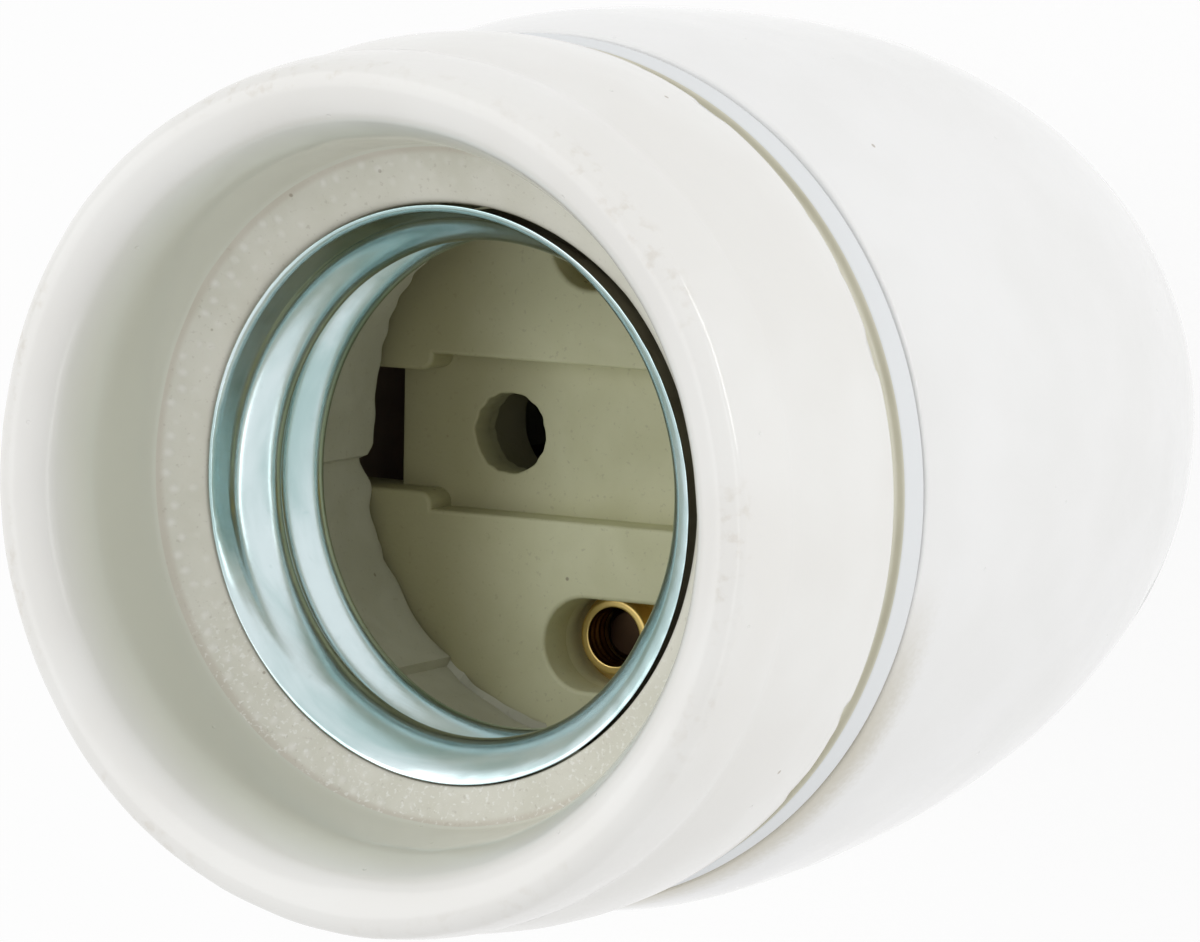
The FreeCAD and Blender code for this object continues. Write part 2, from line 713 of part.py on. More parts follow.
def cut_screw_slot(body, height, reach, width, reverse=False):
    """Cut the screwdriver's slot into a screw that is drawn on its own axis."""
    sketch = new_sketch(body, "XY", height)
    half = width * 0.5
    outline(sketch, ((-reach, -half), (reach, -half), (reach, half), (-reach, half)))
    extrude(body, sketch, dims.slot_deep, "Pocket", reverse=reverse)


def make_clamp(prefix, side):
    """The clamp screw and the square washer under its head."""
    d = dims
    washer_top = d.plate_top_z - d.plate_sheet
    washer_low = washer_top - d.clamp_sheet
    y = d.eyelet_y * side + d.insert_shift

    washer = new_body(prefix + "_clamp_washer")
    sketch = new_sketch(washer, "XY", washer_low)
    half = d.clamp_half
    outline(sketch, ((-half, -half), (half, -half), (half, half), (-half, half)))
    circle(sketch, 0, 0, d.screw_r + d.play)
    extrude(washer, sketch, d.clamp_sheet)
    place_on(washer, d.eyelet_x, y)

    head_low = washer_low - d.head_height
    bevel = d.screw_bevel
    screw = turned_piece(prefix + "_clamp_screw", (
        (0, head_low), (d.head_r - bevel, head_low), (d.head_r, head_low + bevel),
        (d.head_r, washer_low), (d.screw_r, washer_low), (d.screw_r, d.screw_tip_z - bevel),
        (d.screw_r - bevel, d.screw_tip_z), (0, d.screw_tip_z)))
    cut_screw_slot(screw, head_low, d.head_r, d.slot_cut, reverse=True)
    place_on(screw, d.eyelet_x, y)


def make_rivet(name, x, y, low, high, radius, head_r):
    """A rivet with two flat domed heads, drawn on its own axis."""
    d = dims
    head = d.rivet_head
    crown, rim = head_r * d.rivet_crown.value, head * d.rivet_rim.value
    rivet = turned_piece(name, (
        (0, low - head), (crown, low - head), (head_r, low - rim), (head_r, low),
        (radius, low), (radius, high), (head_r, high), (head_r, high + rim),
        (crown, high + head), (0, high + head)))
    place_on(rivet, x, y)


def make_side_contact():
    """A leaf of sheet that rises through the notch and leans in to the lamp cap."""
    d = dims
    body = new_body("side_contact_spring")
    sketch = new_sketch(body, "XZ")
    sheet = d.spring_sheet
    low = d.plate_top_z - d.plate_sheet - sheet
    foot_x = d.spring_rivet_x - d.spring_foot
    bend = d.spring_bend
    bulge = bend * round(1 - math.sqrt(0.5), 6)
    path = Outline(sketch, foot_x, low)
    path.line(d.spring_x + sheet - bend, low)
    path.arc(d.spring_x + sheet - bulge, low + bulge, d.spring_x + sheet, low + bend)
    path.line(d.spring_x + sheet, d.spring_knee_z)
    path.line(d.spring_tip_x + sheet, d.spring_tip_z)
    path.line(d.spring_tip_x + d.spring_flick + sheet, d.spring_end_z)
    path.line(d.spring_tip_x + d.spring_flick, d.spring_end_z)
    path.line(d.spring_tip_x, d.spring_tip_z)
    path.line(d.spring_x, d.spring_knee_z)
    path.line(d.spring_x, low + bend)
    path.line(d.spring_x + sheet - bend, low + sheet)
    path.line(foot_x, low + sheet)
    path.close()
    extrude(body, sketch, d.spring_half * 2, midplane=True)
    sketch = new_sketch(body, "XY", low + sheet)
    circle(sketch, d.spring_rivet_x, 0, d.spring_rivet_r + d.fit)
    extrude(body, sketch, sheet + dims.cut_past, "Pocket")
    place_on(body, 0, d.insert_shift)


# ---------------------------------------------------------------- pipe entry


def make_entry():
    """The threaded bush, its washer and nut, and the screw that locks the pipe."""
    d = dims
    low, under = d.bush_inset, d.bush_inset + d.bush_flange
    lead, bevel = d.entry_lead, d.screw_bevel
    bush = turned_piece("entry_bush", (
        (d.entry_r + lead, low), (d.bush_flange_r - bevel, low), (d.bush_flange_r, low + bevel),
        (d.bush_flange_r, under), (d.bush_r, under), (d.bush_r, d.bush_top_z - bevel),
        (d.bush_r - bevel, d.bush_top_z), (d.entry_r, d.bush_top_z), (d.entry_r, low + lead)))
    sketch = new_sketch(bush, "XZ")
    circle(sketch, 0, d.lock_z, d.lock_r + d.fit)
    extrude(bush, sketch, d.bush_r * 2, "Pocket")

    floor = d.room_floor_z
    turned_piece("bush_washer", (
        (d.bush_r + d.play, floor), (d.washer_r, floor), (d.washer_r, floor + d.washer_sheet),
        (d.bush_r + d.play, floor + d.washer_sheet)))

    nut = new_body("bush_nut")
    sketch = new_sketch(nut, "XY", floor + d.washer_sheet)
    corner_r = d.nut_flats * round(1 / math.sqrt(3), 9)
    outline(sketch, [corner_r.turned(60 * k) for k in range(6)])
    circle(sketch, 0, 0, d.bush_r + d.fit)
    extrude(nut, sketch, d.nut_height)

    lock = turned_piece("pipe_lock_screw", (
        (0, 0), (d.lock_r - bevel, 0), (d.lock_r, bevel), (d.lock_r, d.lock_length), (0, d.lock_length)))
    cut_screw_slot(lock, d.lock_length, d.lock_r, d.lock_slot)
    lock.Placement = Placement(Vector(0, 0, 0), Rotation(Vector(1, 0, 0), -90))
    place_on(lock, 0, d.entry_r + d.play, d.lock_z)


# ---------------------------------------------------------------- build and write

make_front_ring()
make_threaded_shell()
make_seal_ring()
make_rear_dome()
place_on(make_insert_block(), 0, dims.insert_shift)
plate_low = dims.plate_top_z - dims.plate_sheet
for prefix, side in (("lower", -1), ("upper", 1)):
    place_on(make_terminal(prefix + "_terminal", side), 0, dims.insert_shift)
    make_clamp(prefix, side)
    make_rivet(prefix + "_terminal_rivet", dims.rivet_x, dims.rivet_y * side + dims.insert_shift,
               plate_low, dims.face_z - dims.rivet_sink, dims.rivet_r, dims.rivet_head_r)
make_side_contact()
make_rivet("spring_rivet", dims.spring_rivet_x, dims.insert_shift,
           plate_low - dims.spring_sheet, dims.plate_top_z, dims.spring_rivet_r,
           dims.spring_rivet_head_r)
make_entry()
doc.recompute()

for thing in doc.Objects:
    if "Invalid" in thing.State or "Error" in thing.State:
        raise RuntimeError(f"{thing.Name} is {thing.State}")
for node in nodes:
    shape = node.Shape
    if shape.isNull() or not shape.isValid() or not shape.Solids:
        raise RuntimeError(f"{node.Label} has no valid solid")
    shape.exportStep(f"parts/{node.Label}.step")
print("OK", len(nodes), "nodes")
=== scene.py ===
"""Looks of a porcelain lamp holder: two glazed parts that screw together round a threaded shell.

Every length is in metres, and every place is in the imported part's own frame: the lamp axis is
+Z, the mouth faces up, and z = 0 is the flat end round the pipe entry. +X runs along the
channel in the insert's face.
"""

import json
import logging
import math
from dataclasses import dataclass
from enum import Enum
from typing import Callable, Sequence

import bpy
import numpy as np
from mathutils import Matrix, Vector


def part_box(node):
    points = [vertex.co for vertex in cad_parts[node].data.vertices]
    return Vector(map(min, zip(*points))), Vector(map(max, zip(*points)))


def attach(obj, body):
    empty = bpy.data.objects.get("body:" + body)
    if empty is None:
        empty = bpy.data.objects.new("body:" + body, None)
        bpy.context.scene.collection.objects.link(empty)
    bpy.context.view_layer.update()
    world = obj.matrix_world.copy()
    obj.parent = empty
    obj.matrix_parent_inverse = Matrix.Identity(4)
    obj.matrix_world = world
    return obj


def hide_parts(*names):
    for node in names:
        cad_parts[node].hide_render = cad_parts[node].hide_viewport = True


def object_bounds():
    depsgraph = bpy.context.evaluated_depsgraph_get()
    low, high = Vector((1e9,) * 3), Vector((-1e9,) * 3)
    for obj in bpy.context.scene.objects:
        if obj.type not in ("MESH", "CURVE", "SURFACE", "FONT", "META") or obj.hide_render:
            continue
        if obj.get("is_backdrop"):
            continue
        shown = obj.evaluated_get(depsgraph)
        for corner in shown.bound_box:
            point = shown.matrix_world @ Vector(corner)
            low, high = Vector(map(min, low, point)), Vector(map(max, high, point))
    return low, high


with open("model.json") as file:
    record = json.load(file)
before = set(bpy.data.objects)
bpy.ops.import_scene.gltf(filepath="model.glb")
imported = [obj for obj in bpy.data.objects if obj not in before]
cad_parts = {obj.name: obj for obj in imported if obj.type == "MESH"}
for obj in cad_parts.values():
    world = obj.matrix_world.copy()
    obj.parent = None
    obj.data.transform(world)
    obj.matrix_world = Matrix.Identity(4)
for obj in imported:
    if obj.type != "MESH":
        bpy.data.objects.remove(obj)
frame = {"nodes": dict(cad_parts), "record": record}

MM = 0.001
SHARP_ANGLE = math.radians(42)
TOUCH = 0.01 * MM  # slack of a test whether a point lies on a surface
WHITE = (1.0, 1.0, 1.0, 1.0)
RIM_R = 14.18 * MM  # radius of the shell's rim, which the bare annulus closes up on

Triple = tuple[float, float, float]
Colour = Triple
Point = tuple[float, float]
Shaping = Callable[[np.ndarray, np.ndarray, np.ndarray], tuple[np.ndarray, np.ndarray]]

BORE_SHIFT: Point = (-0.1 * MM, -0.45 * MM)  # the shell's bore lies off the lamp axis

log = logging.getLogger("lamp_holder")


# ---------------------------------------------------------------- finishes


@dataclass(frozen=True)
class Patches:
    """Soft patches of noise, which begin at one level of the noise and are full at another."""

    size: float
    low: float
    high: float
    detail: float = 3.0
    bend: float = 0.0
    stretch: Triple = (1.0, 1.0, 1.0)
    strength: float = 1.0


@dataclass(frozen=True)
class Specks:
    """Small round specks: mean distance of the places for one, radius, and share of places."""

    cell: float
    size: float
    share: float
    strength: float = 1.0


@dataclass(frozen=True)
class Beads:
    """Small beads in a ring round the lamp axis, which wanders in and out from bead to bead."""

    row: float
    spacing: float
    size: float
    stray: float
    strength: float = 1.0
    core: float = 0.1
    hop: float = 2.4


class NodeGraph:
    """Lays out the shader nodes of one finish, in coordinates of the part's frame."""

    def __init__(self, name: str) -> None:
        """Start a material that holds one principled shader.

        Args:
            name: Name of the material.
        """
        self.material = bpy.data.materials.new(name)
        self.material.use_nodes = True
        self.tree = self.material.node_tree
        self.tree.nodes.clear()
        output = self.tree.nodes.new("ShaderNodeOutputMaterial")
        self.shader = self.tree.nodes.new("ShaderNodeBsdfPrincipled")
        self.tree.links.new(self.shader.outputs["BSDF"], output.inputs["Surface"])
        self.place = self.tree.nodes.new("ShaderNodeTexCoord").outputs["Object"]
        split = self.tree.nodes.new("ShaderNodeSeparateXYZ")
        self.tree.links.new(self.place, split.inputs["Vector"])
        self.x, self.y, self.height = split.outputs
        self.radius = self.length(self.x, self.y)

    def fill(self, socket: bpy.types.NodeSocket, value: object) -> None:
        """Link a socket to another one, or set it to a plain value.

        Args:
            socket: The input to fill.
            value: An output socket, a number, a colour or a vector.
        """
        if isinstance(value, bpy.types.NodeSocket):
            self.tree.links.new(value, socket)
        elif isinstance(value, tuple) and len(value) == 3 and socket.type == "RGBA":
            socket.default_value = (*value, 1.0)
        else:
            socket.default_value = value

    def math(self, operation: str, first: object, second: object = 0.0) -> bpy.types.NodeSocket:
        """Add one step of arithmetic.

        Args:
            operation: Blender's name of the operation.
            first: First operand, a socket or a number.
            second: Second operand.

        Returns:
            The result's socket.
        """
        node = self.tree.nodes.new("ShaderNodeMath")
        node.operation = operation
        self.fill(node.inputs[0], first)
        self.fill(node.inputs[1], second)
        return node.outputs[0]

    def product(self, *factors: object) -> bpy.types.NodeSocket:
        """Multiply sockets and numbers.

        Args:
            factors: What to multiply.

        Returns:
            The product's socket.
        """
        total = factors[0]
        for factor in factors[1:]:
            total = self.math("MULTIPLY", total, factor)
        return total

    def length(self, x: object, y: object) -> bpy.types.NodeSocket:
        """Length of a way with two legs at right angles."""
        return self.math("SQRT", self.math("ADD", self.product(x, x), self.product(y, y)))

    def noise(self, size: float, detail: float = 3.0, stretch: Triple = (1.0, 1.0, 1.0),
              bend: float = 0.0) -> bpy.types.NodeSocket:
        """Add soft noise.

        Args:
            size: Width of one blotch.
            detail: Octaves of finer noise.
            stretch: Factor on each axis before the noise is looked up.
            bend: How much the noise distorts itself.

        Returns:
            The noise's factor, about 0.5 on average.
        """
        mapping = self.tree.nodes.new("ShaderNodeMapping")
        self.fill(mapping.inputs["Vector"], self.place)
        mapping.inputs["Scale"].default_value = stretch
        node = self.tree.nodes.new("ShaderNodeTexNoise")
        self.fill(node.inputs["Vector"], mapping.outputs[0])
        node.inputs["Scale"].default_value = 1.0 / size
        node.inputs["Detail"].default_value = detail
        node.inputs["Distortion"].default_value = bend
        return node.outputs["Fac"]

    def step(self, value: object, low: float, high: float) -> bpy.types.NodeSocket:
        """Ramp smoothly from 0 to 1 as a value goes from one limit to the other.

        Args:
            value: The socket to read.
            low: Value at which the ramp is 0.
            high: Value at which the ramp is 1. It may be less than the first limit.

        Returns:
            The ramp's socket.
        """
        node = self.tree.nodes.new("ShaderNodeMapRange")
        node.interpolation_type = "SMOOTHSTEP"
        self.fill(node.inputs["Value"], value)
        node.inputs["From Min"].default_value = min(low, high)
        node.inputs["From Max"].default_value = max(low, high)
        node.inputs["To Min"].default_value = 0.0 if low < high else 1.0
        node.inputs["To Max"].default_value = 1.0 if low < high else 0.0
        return node.outputs["Result"]

    def band(self, value: object, start: float, end: float, edge: float) -> bpy.types.NodeSocket:
        """Mask that is 1 between two limits and fades out past them.

        Args:
            value: The socket to read.
            start: Lower limit.
            end: Upper limit.
            edge: Width of each fade.

        Returns:
            The mask's socket.
        """
        rise = self.step(value, start - edge, start)
        fall = self.step(value, end + edge, end)
        return self.product(rise, fall)

    def patches(self, patches: Patches) -> bpy.types.NodeSocket:
        """Mask of soft patches.

        Args:
            patches: How large and how strong they are.

        Returns:
            The mask's socket.
        """
        level = self.noise(patches.size, patches.detail, patches.stretch, patches.bend)
        return self.product(self.step(level, patches.low, patches.high), patches.strength)

    def specks(self, specks: Specks) -> bpy.types.NodeSocket:
        """Mask of small round specks, strewn at random.

        Args:
            specks: How large, how many and how strong they are.

        Returns:
            The mask's socket.
        """
        node = self.tree.nodes.new("ShaderNodeTexVoronoi")
        self.fill(node.inputs["Vector"], self.place)
        node.inputs["Scale"].default_value = 1.0 / specks.cell
        split = self.tree.nodes.new("ShaderNodeSeparateColor")
        self.tree.links.new(node.outputs["Color"], split.inputs["Color"])
        chosen = self.math("GREATER_THAN", split.outputs[0], 1.0 - specks.share)
        reach = specks.size / specks.cell
        near = self.step(node.outputs["Distance"], reach, reach / 2)
        return self.product(chosen, near, specks.strength)

    def beads(self, beads: Beads) -> bpy.types.NodeSocket:
        """Mask of small beads in a ring round the lamp axis.

        Args:
            beads: Where the ring is, and how large and how strong the beads are.

        Returns:
            The mask's socket.
        """
        turn = self.math("ARCTAN2", self.y, self.x)
        around = self.product(turn, beads.row / beads.spacing)
        whole = self.math("FLOOR", around)
        side = self.product(self.math("SINE", self.product(whole, beads.hop)), beads.stray)
        middle = self.math("SUBTRACT", self.math("SUBTRACT", around, whole), 0.5)
        along = self.product(middle, beads.spacing)
        across = self.math("ADD", self.math("SUBTRACT", self.radius, beads.row), side)
        mask = self.step(self.length(along, across), beads.size, beads.core * beads.size)
        return self.product(mask, beads.strength)

    def gloss(self, middle: float, spread: float, size: float,
              detail: float = 3.0) -> bpy.types.NodeSocket:
        """Roughness that varies softly from place to place.

        Args:
            middle: Mean roughness.
            spread: How far apart the smoothest and the roughest places are.
            size: Width of one blotch.
            detail: Octaves of finer noise.

        Returns:
            The roughness's socket.
        """
        node = self.math("MULTIPLY_ADD", self.noise(size, detail), spread).node
        node.inputs[2].default_value = middle - spread / 2
        return node.outputs[0]

    def mix(self, share: object, first: object, second: object) -> bpy.types.NodeSocket:
        """Blend two colours.

        Args:
            share: Share of the second colour.
            first: Colour where the share is 0.
            second: Colour where it is 1.

        Returns:
            The blended colour's socket.
        """
        node = self.tree.nodes.new("ShaderNodeMix")
        node.data_type = "RGBA"
        # inputs 6 and 7 and output 2 are the ones for colours
        self.fill(node.inputs["Factor"], share)
        self.fill(node.inputs[6], first)
        self.fill(node.inputs[7], second)
        return node.outputs[2]

    def bump(self, height: object, depth: float, under: object = None) -> bpy.types.NodeSocket:
        """Turn a height into a disturbed normal.

        Args:
            height: Socket with heights between 0 and 1.
            depth: Depth that a height of 1 stands for.
            under: Normal of a coarser bump to build on.

        Returns:
            The normal's socket.
        """
        node = self.tree.nodes.new("ShaderNodeBump")
        node.inputs["Distance"].default_value = depth
        self.fill(node.inputs["Height"], height)
        if under is not None:
            self.fill(node.inputs["Normal"], under)
        return node.outputs["Normal"]

    def finish(self, colour: object, roughness: object, normal: object, metal: float = 0.0,
               ior: float = 1.5) -> bpy.types.Material:
        """Fill the principled shader and hand over the material.

        Args:
            colour: Base colour.
            roughness: Roughness.
            normal: Disturbed normal.
            metal: 1 for a metal.
            ior: Refractive index of the surface.

        Returns:
            The finished material.
        """
        self.fill(self.shader.inputs["Base Color"], colour)
        self.fill(self.shader.inputs["Roughness"], roughness)
        self.fill(self.shader.inputs["Normal"], normal)
        self.shader.inputs["Metallic"].default_value = metal
        self.shader.inputs["IOR"].default_value = ior
        return self.material


@dataclass(frozen=True)
class Glaze:
    """White glaze with a faint unevenness, small pits and a few iron specks."""

    name: str
    white: Colour
    shade: Colour
    roughness: float = 0.09
    gloss_spread: float = 0.06
    gloss_size: float = 3 * MM
    ior: float = 1.52
    cloud: Patches = Patches(9 * MM, 0.35, 0.65, detail=2.0)
    wave: float = 0.010 * MM
    wave_size: float = 1.7 * MM
    fine: float = 0.0012 * MM
    fine_size: float = 0.45 * MM
    pits: Specks = Specks(1.9 * MM, 0.12 * MM, 0.3)
    pit_depth: float = 0.02 * MM
    speck: Colour = (0.30, 0.22, 0.13)
    specks: Specks = Specks(2.6 * MM, 0.16 * MM, 0.10, strength=0.55)
    thin: Colour = (0.71, 0.71, 0.62)
    thin_r: float = 0.0
    thin_fade: float = 1.4 * MM
    stain: Colour = (0.50, 0.42, 0.30)
    stain_inner_r: float = 0.0
    stain_outer_r: float = 0.0
    stain_z: float = 0.0
    stain_side: float = 0.35 * MM
    stain_rise: float = 0.4 * MM
    stain_grain: Patches = Patches(0.7 * MM, 0.50, 0.72, detail=5.0)
    stain_where: Patches = Patches(9 * MM, 0.40, 0.62, detail=1.0)
    stain_strength: float = 0.22
    # ragged beige band along the dome's mouth edge, on one side
    edge: Colour = (0.55, 0.51, 0.40)
    edge_z: float = 0.0
    edge_half: float = 1.2 * MM
    edge_way: Point = (0.60, -0.80)
    edge_reach: Point = (15 * MM, 21 * MM)
    edge_ragged: float = 1.1 * MM
    edge_grain: float = 0.3 * MM
    edge_strength: float = 0.75

    def thinned(self, graph: NodeGraph, colour: object) -> bpy.types.NodeSocket:
        """Let the body show through the thin glaze inside a radius."""
        thin = graph.step(graph.radius, self.thin_r + self.thin_fade, self.thin_r)
        return graph.mix(thin, colour, self.thin)

    def stained(self, graph: NodeGraph, colour: object) -> bpy.types.NodeSocket:
        """Rub the glaze dirty along the crest of the lip.

        Args:
            graph: The finish's nodes.
            colour: Colour of the clean glaze.

        Returns:
            The stained colour's socket.
        """
        ring = graph.band(graph.radius, self.stain_inner_r, self.stain_outer_r, self.stain_side)
        above = graph.step(graph.height, self.stain_z - self.stain_rise, self.stain_z)
        worn = graph.product(ring, above, graph.patches(self.stain_grain),
                             graph.patches(self.stain_where), self.stain_strength)
        return graph.mix(worn, colour, self.stain)

    def edged(self, graph: NodeGraph, colour: object) -> bpy.types.NodeSocket:
        """Darken the glaze to a ragged beige band along an edge, on one side of the part.

        Args:
            graph: The finish's nodes.
            colour: Colour of the whole glaze.

        Returns:
            The darkened colour's socket.
        """
        along = graph.math("ADD", graph.product(graph.x, self.edge_way[0]),
                           graph.product(graph.y, self.edge_way[1]))
        ragged = graph.product(graph.noise(self.edge_grain), self.edge_ragged)
        near = graph.step(graph.math("ADD", graph.height, ragged), self.edge_z - self.edge_half,
                          self.edge_z + self.edge_half)
        side = graph.step(along, *self.edge_reach)
        return graph.mix(graph.product(near, side, self.edge_strength), colour, self.edge)

    def material(self) -> bpy.types.Material:
        """Build the material.

        Returns:
            The glaze's material.
        """
        graph = NodeGraph(self.name)
        colour = graph.mix(graph.patches(self.cloud), self.white, self.shade)
        if self.thin_r:
            colour = self.thinned(graph, colour)
        if self.stain_outer_r:
            colour = self.stained(graph, colour)
        if self.edge_z:
            colour = self.edged(graph, colour)
        colour = graph.mix(graph.specks(self.specks), colour, self.speck)
        wave = graph.bump(graph.noise(self.wave_size, detail=2.0), self.wave)
        fine = graph.bump(graph.noise(self.fine_size, detail=1.0), self.fine, wave)
        pits = graph.bump(graph.specks(self.pits), -self.pit_depth, fine)
        gloss = graph.gloss(self.roughness, self.gloss_spread, self.gloss_size)
        return graph.finish(colour, gloss, pits, ior=self.ior)


@dataclass(frozen=True)
class Bisque:
    """Unglazed ceramic: matt and grainy, with stains, dark specks and, where asked, painted shade on
    one side.
    """

    name: str
    pale: Colour
    dull: Colour
    roughness: float = 0.62
    cloud: Patches = Patches(3.5 * MM, 0.3, 0.7, detail=5.0, bend=0.4)
    speck: Colour = (0.20, 0.15, 0.09)
    dust: Patches = Patches(0.25 * MM, 0.62, 0.75, detail=2.0, strength=0.18)
    specks: Specks = Specks(1.7 * MM, 0.13 * MM, 0.35, strength=0.6)
    grain: float = 0.020 * MM
    grain_size: float = 0.9 * MM
    fine_share: float = 0.3
    fine_size: float = 0.16 * MM
    # painted shade: the face turns olive brown towards -X, standing in for the shade of the bore's wall
    painted_shade_side: bool = False
    painted_shade: Colour = (0.30, 0.27, 0.13)
    painted_shade_reach: Point = (-2 * MM, -10 * MM)
    painted_shade_strength: float = 0.8

    def strewn(self, graph: NodeGraph, colour: object,
               normal: object) -> tuple[object, object]:
        """What lies on the ceramic: nothing, on a plain one."""
        return colour, normal

    def material(self) -> bpy.types.Material:
        """Build the material.

        Returns:
            The ceramic's material.
        """
        graph = NodeGraph(self.name)
        colour = graph.mix(graph.patches(self.cloud), self.pale, self.dull)
        # painted shade darkens the face towards -X
        if self.painted_shade_side:
            side = graph.step(graph.x, *self.painted_shade_reach)
            colour = graph.mix(graph.product(side, self.painted_shade_strength), colour, self.painted_shade)
        colour = graph.mix(graph.patches(self.dust), colour, self.speck)
        colour = graph.mix(graph.specks(self.specks), colour, self.speck)
        normal = graph.bump(graph.noise(self.grain_size), self.grain)
        colour, normal = self.strewn(graph, colour, normal)
        fine = graph.bump(graph.noise(self.fine_size, detail=2.0), self.fine_share * self.grain,
                          normal)
        return graph.finish(colour, self.roughness, fine)


@dataclass(frozen=True)
class BeadedBisque(Bisque):
    """The annulus: bare, with two rows of glaze beads, sugary spray and a brown foot line of painted
    shade.
    """

    bead: Colour = (0.88, 0.87, 0.82)
    bead_height: float = 0.05 * MM
    bead_strength: float = 0.55
    bead_reach: Point = (6 * MM, -8 * MM)
    bead_gaps: Patches = Patches(1.6 * MM, 0.38, 0.55, detail=2.0)
    outer: Beads = Beads(15.95 * MM, 0.82 * MM, 0.34 * MM, 0.22 * MM)
    inner: Beads = Beads(15.1 * MM, 1.2 * MM, 0.32 * MM, 0.15 * MM, strength=0.6)
    # painted shade: a brown line in the corner where the annulus meets the bowl wall
    foot: Colour = (0.50, 0.42, 0.34)
    foot_r: float = 16.55 * MM
    foot_shade_half: float = 0.1 * MM
    foot_shade_fade: float = 0.3 * MM
    foot_shade_strength: float = 0.35
    sugar: Colour = (0.90, 0.90, 0.86)
    sugar_grain: Patches = Patches(0.22 * MM, 0.56, 0.70, detail=2.0)
    sugar_reach: Point = (-4 * MM, -11 * MM)
    sugar_strength: float = 0.6

    def strewn(self, graph: NodeGraph, colour: object,
               normal: object) -> tuple[object, object]:
        """Lay the beads, the foot line of painted shade and the spray on the ceramic.

        Args:
            graph: The finish's nodes.
            colour: Colour of the plain ceramic.
            normal: Normal of the plain ceramic.

        Returns:
            Colour and normal with what lies on it.
        """
        rows = graph.math("MAXIMUM", graph.beads(self.outer), graph.beads(self.inner))
        beads = graph.product(graph.patches(self.bead_gaps),
                              graph.step(graph.x, *self.bead_reach), rows)
        colour = graph.mix(graph.product(beads, self.bead_strength), colour, self.bead)
        # painted shade along the bowl foot
        foot = graph.band(graph.radius, self.foot_r - self.foot_shade_half, self.foot_r + self.foot_shade_half,
                          self.foot_shade_fade)
        colour = graph.mix(graph.product(foot, self.foot_shade_strength), colour, self.foot)
        sugar = graph.product(graph.patches(self.sugar_grain),
                              graph.step(graph.y, *self.sugar_reach), self.sugar_strength)
        return graph.mix(sugar, colour, self.sugar), graph.bump(beads, self.bead_height, normal)


@dataclass(frozen=True)
class Metal:
    """Bright or tarnished sheet with fine marks that run round the lamp axis."""

    name: str
    bright: Colour
    tarnish: Colour
    roughness: float
    gloss_spread: float = 0.16
    gloss_size: float = 0.7 * MM
    cloud: Patches = Patches(4 * MM, 0.35, 0.7, detail=4.0, bend=0.4, stretch=(0.4, 0.4, 2.5))
    spots: Patches = Patches(0.5 * MM, 0.62, 0.78, strength=0.3)
    mark: float = 0.0015 * MM
    ring_size: float = 0.5 * MM
    ring_stretch: Triple = (0.12, 0.12, 6.0)
    grain_share: float = 0.9
    grain_size: float = 0.11 * MM
    dent_size: float = 1.4 * MM

    def material(self) -> bpy.types.Material:
        """Build the material.

        Returns:
            The metal's material.
        """
        graph = NodeGraph(self.name)
        colour = graph.mix(graph.patches(self.cloud), self.bright, self.tarnish)
        colour = graph.mix(graph.patches(self.spots), colour, self.tarnish)
        lines = graph.bump(graph.noise(self.ring_size, stretch=self.ring_stretch), self.mark)
        grain = graph.bump(graph.noise(self.grain_size, detail=2.0),
                           self.grain_share * self.mark, lines)
        dents = graph.bump(graph.noise(self.dent_size, detail=2.0), self.mark, grain)
        gloss = graph.gloss(self.roughness, self.gloss_spread, self.gloss_size, detail=4.0)
        return graph.finish(colour, gloss, dents, metal=1.0)


@dataclass(frozen=True)
class Rubber:
    """Smooth pale elastomer with a low sheen."""

    name: str
    base: Colour
    dusty: Colour
    roughness: float = 0.34
    gloss_spread: float = 0.08
    gloss_size: float = 2 * MM
    cloud: Patches = Patches(7 * MM, 0.35, 0.7)
    speck: Colour = (0.12, 0.11, 0.10)
    specks: Specks = Specks(3.2 * MM, 0.13 * MM, 0.05, strength=0.6)
    soft: float = 0.002 * MM
    soft_size: float = 0.6 * MM

    def material(self) -> bpy.types.Material:
        """Build the material.

        Returns:
            The elastomer's material.
        """
        graph = NodeGraph(self.name)
        colour = graph.mix(graph.patches(self.cloud), self.base, self.dusty)
        colour = graph.mix(graph.specks(self.specks), colour, self.speck)
        soft = graph.bump(graph.noise(self.soft_size), self.soft)
        gloss = graph.gloss(self.roughness, self.gloss_spread, self.gloss_size)
        return graph.finish(colour, gloss, soft)


